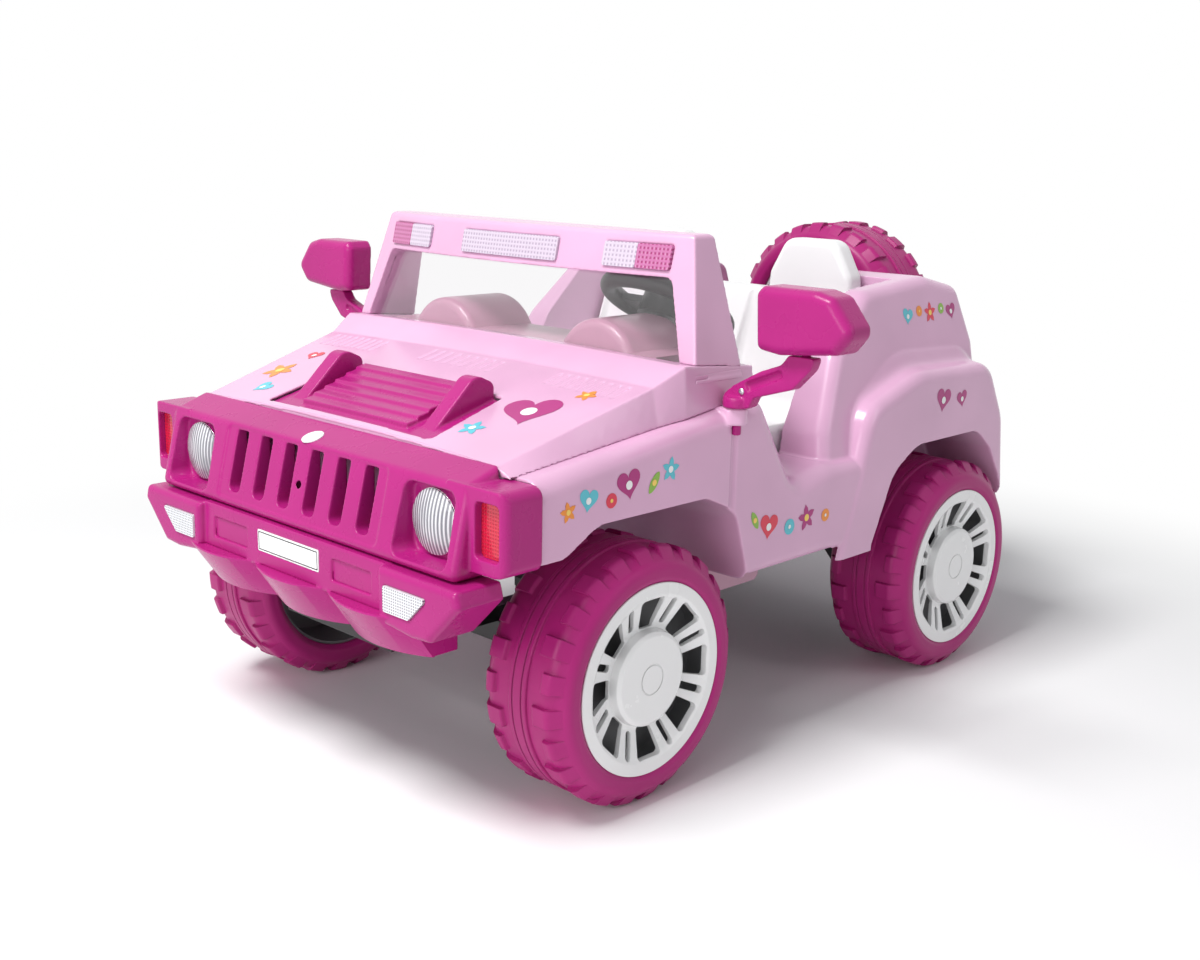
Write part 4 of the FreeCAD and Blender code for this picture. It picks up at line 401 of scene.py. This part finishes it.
PRINTS = {
    "turquoise": moulded("turquoise print", TURQUOISE, 0.3, drift=0.03),
    "cherry": moulded("cherry print", CHERRY, 0.3, drift=0.03),
    "orange": moulded("orange print", ORANGE, 0.3, drift=0.03),
    "yellow": moulded("yellow print", YELLOW, 0.3, drift=0.03),
    "green": moulded("green print", GREEN, 0.3, drift=0.03),
    "magenta": moulded("magenta print", MAGENTA, 0.3, drift=0.03),
    "white": moulded("white print", WHITE, 0.3, drift=0.03),
}

NODE_MATERIALS = {
    "pale_pink": ["body_shell", "bonnet", "windscreen_frame"],
    # floor pan and dashboard carry the pale pink darkened as painted cabin shade
    "shaded_cabin_pink": ["floor_pan", "dashboard"],
    "magenta": ["bonnet_scoop", "grille_panel", "front_bumper", "horn_button"],
    "mauve": ["rear_bumper"],
    "white": ["number_plate", "spare_wheel_trim"],
    "seat_white": ["seat"],
    "black": ["column_bracket", "steering_wheel", "accelerator_pedal", "gear_lever", "battery_strap",
              "spare_carrier"],
    "black_metal": ["chassis_frame", "front_axle_beam", "tie_rod"],
    "steel": ["kingpins", "steering_column", "rear_axle", "rear_wheel_nuts"],
    "grey": ["battery"],
    "silver": ["headlamp_reflectors"],
    "headlamp": ["headlamp_lenses"],
    "fog": ["fog_lamp_lenses"],
    "roof_clear": ["roof_lamps_clear"],
    "roof_pink": ["roof_lamps_pink"],
    "red_lens": ["marker_lenses", "tail_lamp_lenses"],
    "windscreen": ["windscreen"],
    "tyre": ["spare_tyre"],
}

# Nodes that come once on each side, and on each corner
SIDE_MATERIALS = {
    "mirror_arm": "magenta",
    "mirror_head": "magenta",
    "gearbox": "black",
    "motor": "steel",
    "knuckle": "black_metal",
    "wheel_nut": "steel",
}
CORNER_MATERIALS = {
    "tyre": "tyre",
    "wheel_core": "grey",
    # grey core is painted shade in the recess behind the white spokes
    "wheel_trim": "white",
}


def dress(name, material):
    slots = nodes[name].data.materials
    slots.clear()
    slots.append(MATERIALS[material])


def dress_nodes():
    for material, names in NODE_MATERIALS.items():
        for name in names:
            dress(name, material)
    for side in ("left", "right"):
        for name, material in SIDE_MATERIALS.items():
            dress("%s_%s" % (name, side), material)
        for name, material in CORNER_MATERIALS.items():
            dress("%s_front_%s" % (name, side), material)
            dress("%s_rear_%s" % (name, side), material)


def soften(name, cell, passes, share):
    """Round a moulding's edges: a fine even skin, smoothed, then thinned to a share of its faces."""
    skin = nodes[name].modifiers.new("skin", "REMESH")
    skin.mode = "VOXEL"
    skin.voxel_size = cell
    skin.use_smooth_shade = True
    smooth = nodes[name].modifiers.new("smooth", "SMOOTH")
    smooth.factor = 0.5
    smooth.iterations = passes
    thin = nodes[name].modifiers.new("thin", "DECIMATE")
    thin.ratio = share


def soften_mouldings():
    for name, (cell, passes, share) in SOFT_MOULDINGS.items():
        soften(name, cell, passes, share)


# Small pieces that ride the frame
def mesh_object(name, points, faces, material, body):
    shape = bpy.data.meshes.new(name)
    shape.from_pydata([tuple(p) for p in points], [], faces)
    shape.update()
    obj = bpy.data.objects.new(name, shape)
    bpy.context.collection.objects.link(obj)
    obj.data.materials.append(material)
    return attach(obj, body)


def bands(count, rings):
    """Faces between rings of points, and a cap on the last ring."""
    faces = []
    for ring in range(rings - 1):
        low = ring * count
        high = low + count
        for i in range(count):
            j = (i + 1) % count
            faces.append((low + i, low + j, high + j, high + i))
    faces.append(tuple(range((rings - 1) * count, rings * count)))
    return faces


def lathe(name, profile, at, axis, material, body, steps=48):
    """Turned piece: (radius, along) points about an axis through a place."""
    turn = Vector((0, 0, 1)).rotation_difference(Vector(axis)).to_matrix()
    points = []
    for radius, along in profile:
        for i in range(steps):
            angle = 2 * math.pi * i / steps
            ring = Vector((radius * math.cos(angle), radius * math.sin(angle), along))
            points.append(Vector(at) + turn @ ring)
    made = mesh_object(name, points, bands(steps, len(profile)), material, body)
    made.data.shade_smooth()
    made.data.set_sharp_from_angle(angle=math.radians(TURNED_SHARP))
    return made


def mirror_glass(side):
    """Mirror foil in the head's shallow seat."""
    head = nodes["mirror_head_" + side]
    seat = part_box("mirror_head_" + side)[1].y - MIRROR_SEAT
    lift = Vector((0, MIRROR_SEAT * 0.5, 0))
    points = []
    faces = []
    for face in head.data.polygons:
        if face.normal.y < SEAT_FACING or abs(face.center.y - seat) > SEAT_NEAR:
            continue
        corners = [head.data.vertices[i].co + lift for i in face.vertices]
        faces.append(tuple(range(len(points), len(points) + len(corners))))
        points += corners
    made = mesh_object("mirror_glass_" + side, points, faces, MATERIALS["mirror"], "mirror_head_" + side)
    return made


def arm_screw(side):
    """Pan-head screw in the mirror arm's foot."""
    sign = 1 if side == "left" else -1
    at = (sign * SCREW_AT[0], SCREW_AT[1], SCREW_AT[2])
    name = "mirror_screw_" + side
    made = lathe(name, SCREW_PROFILE, at, (0, -1, 0), MATERIALS["steel"], "mirror_arm_" + side, 24)
    return made


def rectangle(low, high, y, inset):
    """Corners of an upright rectangle inside a box's front."""
    x0, x1 = low.x + inset, high.x - inset
    z0, z1 = low.z + inset, high.z - inset
    return [(x0, y, z0), (x1, y, z0), (x1, y, z1), (x0, y, z1)]


def plate_border():
    """Thin dark line round the bare plate."""
    low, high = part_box("number_plate")
    y = low.y - PLATE_LIFT
    points = rectangle(low, high, y, PLATE_GAP) + rectangle(low, high, y, PLATE_GAP + PLATE_LINE)
    faces = [(i, (i + 1) % 4, (i + 1) % 4 + 4, i + 4) for i in range(4)]
    made = mesh_object("plate_border", points, faces, MATERIALS["black"], "chassis")
    return made


def skin_trees(*names):
    """Search trees of some CAD nodes as they show."""
    shown = bpy.context.evaluated_depsgraph_get()
    return {name: BVHTree.FromObject(nodes[name], shown) for name in names}


def surface_at(skin, start, way):
    """First hit of a ray on a skin: the point and the normal that faces back along the ray."""
    point, normal, _, _ = skin.ray_cast(start, way.normalized())
    if normal.dot(way) > 0:
        normal = -normal
    return point, normal


def pocket_floor(side):
    """Floor of the shallow pocket beside the plate."""
    sign = 1 if side == "left" else -1
    near, front, low = POCKET_LOW
    far, back, high = POCKET_HIGH
    points = []
    for x in sorted((sign * near, sign * far)):
        points += [(x, front, low), (x, back, low), (x, back, high), (x, front, high)]
    faces = bands(4, 2) + [(3, 2, 1, 0)]
    made = mesh_object("pocket_floor_" + side, points, faces, MATERIALS["magenta"], "chassis")
    return made


def bonnet_flange(skin):
    """Turned-down front edge of the bonnet, closing the joint over the grille panel."""
    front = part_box("bonnet")[0].y + FLANGE_INSET
    back = front + FLANGE_THICK
    points = []
    for i in range(FLANGE_STEPS + 1):
        x = FLANGE_HALF * (2 * i / FLANGE_STEPS - 1)
        top, _ = surface_at(skin, Vector((x, back, OVERHEAD)), Vector((0, 0, -1)))
        high = top.z - FLANGE_INSET
        points += [(x, front, FLANGE_LOW), (x, back, FLANGE_LOW), (x, back, high), (x, front, high)]
    faces = bands(4, FLANGE_STEPS + 1) + [(3, 2, 1, 0)]
    made = mesh_object("bonnet_flange", points, faces, MATERIALS["pale_pink"], "chassis")
    return made


def lip_skin():
    """Wavy lower lip of the front bumper: bulges in plan, swept down and back, closed on top."""
    low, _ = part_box("front_bumper")
    reach = LIP_HALF / LIP_BULGES
    radius = (reach ** 2 + LIP_WAVE ** 2) / (2 * LIP_WAVE)
    foot = LIP_LEAN * (LIP_TOP - low.z)
    points = []
    for i in range(LIP_STEPS + 1):
        x = LIP_HALF * (2 * i / LIP_STEPS - 1)
        aside = (x + LIP_HALF) % (2 * reach) - reach
        front = low.y - LIP_PROUD + radius - math.sqrt(radius ** 2 - aside ** 2)
        back = max(LIP_BACK, front + 3 * LIP_THICK)
        points += [
            (x, front + LIP_RIM, LIP_TOP),
            (x, front + LIP_RIM * LIP_LEAN, LIP_TOP - LIP_RIM),
            (x, front + foot, low.z),
            (x, front + foot + LIP_THICK, low.z),
            (x, front + LIP_THICK * (1 + LIP_LEAN), LIP_TOP - LIP_THICK),
            (x, back, LIP_TOP - LIP_THICK),
            (x, back, LIP_TOP),
        ]
    faces = bands(7, LIP_STEPS + 1)
    faces.append(tuple(range(6, -1, -1)))
    made = mesh_object("lip_skin", points, faces, MATERIALS["magenta"], "chassis")
    made.data.shade_smooth()
    made.data.set_sharp_from_angle(angle=math.radians(LIP_SHARP))
    return made


def badge(skin):
    """Plain white disc on the slope over the grille."""
    point, normal = surface_at(skin, Vector(BADGE_FROM), Vector(BADGE_WAY))
    made = lathe("badge", BADGE_PROFILE, point, normal, MATERIALS["white"], "chassis")
    return made


# Prints: motifs of hearts, stars, leaves and dots laid on the skin
def heart():
    points = []
    for i in range(40):
        t = 2 * math.pi * i / 40
        x = 16 * math.sin(t) ** 3
        y = 13 * math.cos(t) - 5 * math.cos(2 * t) - 2 * math.cos(3 * t) - math.cos(4 * t)
        points.append((x / 17, y / 17 + 0.12))
    return points


def star(tips=5, waist=0.45):
    points = []
    middle = (1 + waist) / 2
    for i in range(4 * tips):
        angle = math.pi / 2 + math.pi * i / (2 * tips)
        reach = (1.0, middle, waist, middle)[i % 4]
        points.append((reach * math.cos(angle), reach * math.sin(angle)))
    return points


def dot():
    return [(math.cos(2 * math.pi * i / 28), math.sin(2 * math.pi * i / 28)) for i in range(28)]


def leaf():
    points = []
    for i in range(32):
        t = 2 * math.pi * i / 32
        points.append((0.42 * math.sin(t) * abs(math.sin(t)) ** 0.4, math.cos(t)))
    return points


MOTIFS = {"heart": heart, "star": star, "dot": dot, "leaf": leaf}


def printed(name, outline, size, place, colour, tilt, lift):
    """Flat motif of a given size pressed on a skin, seen along across x up."""
    skin, at, across, up = place
    out = across.cross(up)
    cosine = math.cos(math.radians(tilt))
    sine = math.sin(math.radians(tilt))
    points = []
    for share in PRINT_RINGS:
        for x, y in outline:
            u = (x * cosine - y * sine) * size * share
            v = (x * sine + y * cosine) * size * share
            point, normal = surface_at(skin, at + across * u + up * v + out * PRINT_REACH, -out)
            points.append(point + normal * lift)
    made = mesh_object(name, points, bands(len(outline), len(PRINT_RINGS)), PRINTS[colour], "chassis")
    made.data.shade_smooth()


def spotted_print(name, motif, size, place, colour, spot, tilt):
    """Motif with a smaller dot of another colour on it."""
    printed(name, MOTIFS[motif](), size, place, colour, tilt, PRINT_LIFT)
    printed(name + "_spot", dot(), size * SPOT_SHARE, place, spot, 0, SPOT_LIFT)


def prints(shell, bonnet):
    """All motifs on both flanks and the bonnet."""
    up = Vector((0, 0, 1))
    for sign, side in ((1, "left"), (-1, "right")):
        for i, (y, z, motif, size, colour, spot, tilt) in enumerate(FLANK_MOTIFS):
            place = (shell, Vector((sign * FLANK_X, y, z)), Vector((0, sign, 0)), up)
            spotted_print("print_%s_%d" % (side, i), motif, size, place, colour, spot, sign * tilt)
    for i, (x, y, motif, size, colour, spot, tilt) in enumerate(BONNET_MOTIFS):
        place = (bonnet, Vector((x, y, BONNET_Z)), Vector((1, 0, 0)), Vector((0, 1, 0)))
        spotted_print("print_bonnet_%d" % i, motif, size, place, colour, spot, tilt)


def small_pieces():
    for side in ("left", "right"):
        mirror_glass(side)
        arm_screw(side)
        pocket_floor(side)
    skins = skin_trees("body_shell", "bonnet", "grille_panel")
    badge(skins["grille_panel"])
    bonnet_flange(skins["bonnet"])
    lip_skin()
    prints(skins["body_shell"], skins["bonnet"])
    plate_border()


# Camera, light and floor
def photo_camera():
    azimuth = math.radians(CAMERA_AZIMUTH)
    elevation = math.radians(CAMERA_ELEVATION)
    roll = math.radians(CAMERA_ROLL)
    flat = math.cos(elevation)
    back = Vector((math.sin(azimuth) * flat, -math.cos(azimuth) * flat, math.sin(elevation)))
    right = Vector((math.cos(azimuth), math.sin(azimuth), 0))
    up = back.cross(right)
    across = right * math.cos(roll) + up * math.sin(roll)
    upright = up * math.cos(roll) - right * math.sin(roll)
    lens = bpy.data.cameras.new("camera")
    lens.lens = CAMERA_LENS
    lens.sensor_width = 36
    lens.clip_end = 200
    seen = bpy.data.objects.new("camera", lens)
    turn = Matrix((across, upright, back)).transposed().to_4x4()
    seen.matrix_world = Matrix.Translation(CAMERA_AT) @ turn
    bpy.context.collection.objects.link(seen)
    bpy.context.scene.camera = seen


def softbox(name, at, aim, size, power):
    light = bpy.data.lights.new(name, "AREA")
    light.shape = "RECTANGLE"
    light.size = size[0]
    light.size_y = size[1]
    light.energy = power
    lamp = bpy.data.objects.new(name, light)
    lamp.location = at
    lamp.rotation_euler = (Vector(aim) - Vector(at)).to_track_quat("-Z", "Y").to_euler()
    bpy.context.collection.objects.link(lamp)


def shows_backdrop(tree):
    """1 for rays that show the white surround, 0 for those that light the object."""
    path = add(tree, "LightPath")
    seen = combined(tree, "MAXIMUM", path.outputs["Is Camera Ray"], path.outputs["Is Glossy Ray"])
    return combined(tree, "MAXIMUM", seen, path.outputs["Is Transmission Ray"])


def studio():
    for name, (at, aim, size, power) in SOFTBOXES.items():
        softbox(name, at, aim, size, power)
    world = bpy.data.worlds.new("studio")
    bpy.context.scene.world = world
    world.use_nodes = True
    tree = world.node_tree
    tree.nodes.clear()
    out = add(tree, "OutputWorld")
    around = add(tree, "Background", Color=opaque(WORLD_COLOUR), Strength=WORLD_STRENGTH)
    white = add(tree, "Background", Color=(1, 1, 1, 1), Strength=1.0)
    join(tree, mixed(tree, shows_backdrop(tree), around, white), out.inputs["Surface"])


def floor():
    """Pale floor that runs into a white surround."""
    bpy.ops.mesh.primitive_plane_add(size=FLOOR_SIZE, location=(0, 0, 0))
    plane = bpy.context.object
    plane.name = "floor"
    made, tree, out = blank("studio floor")
    lit = add(tree, "BsdfDiffuse", Color=opaque(FLOOR_COLOUR))
    glow = add(tree, "Emission", Color=(1, 1, 1, 1), Strength=1.0)
    place = add(tree, "TexCoord")
    far = add(tree, "VectorMath", {"operation": "LENGTH"})
    join(tree, place.outputs["Object"], far.inputs[0])
    near, away = FLOOR_FADE
    fade = add(tree, "MapRange", {"interpolation_type": "SMOOTHSTEP"}, From_Min=near, From_Max=away)
    join(tree, far.outputs["Value"], fade.inputs["Value"])
    share = combined(tree, "MULTIPLY", fade.outputs[0], shows_backdrop(tree))
    join(tree, mixed(tree, share, lit, glow), out.inputs["Surface"])
    plane.data.materials.append(made)


dress_nodes()
soften_mouldings()
small_pieces()
photo_camera()
studio()
floor()
bpy.context.scene.view_settings.view_transform = "Standard"
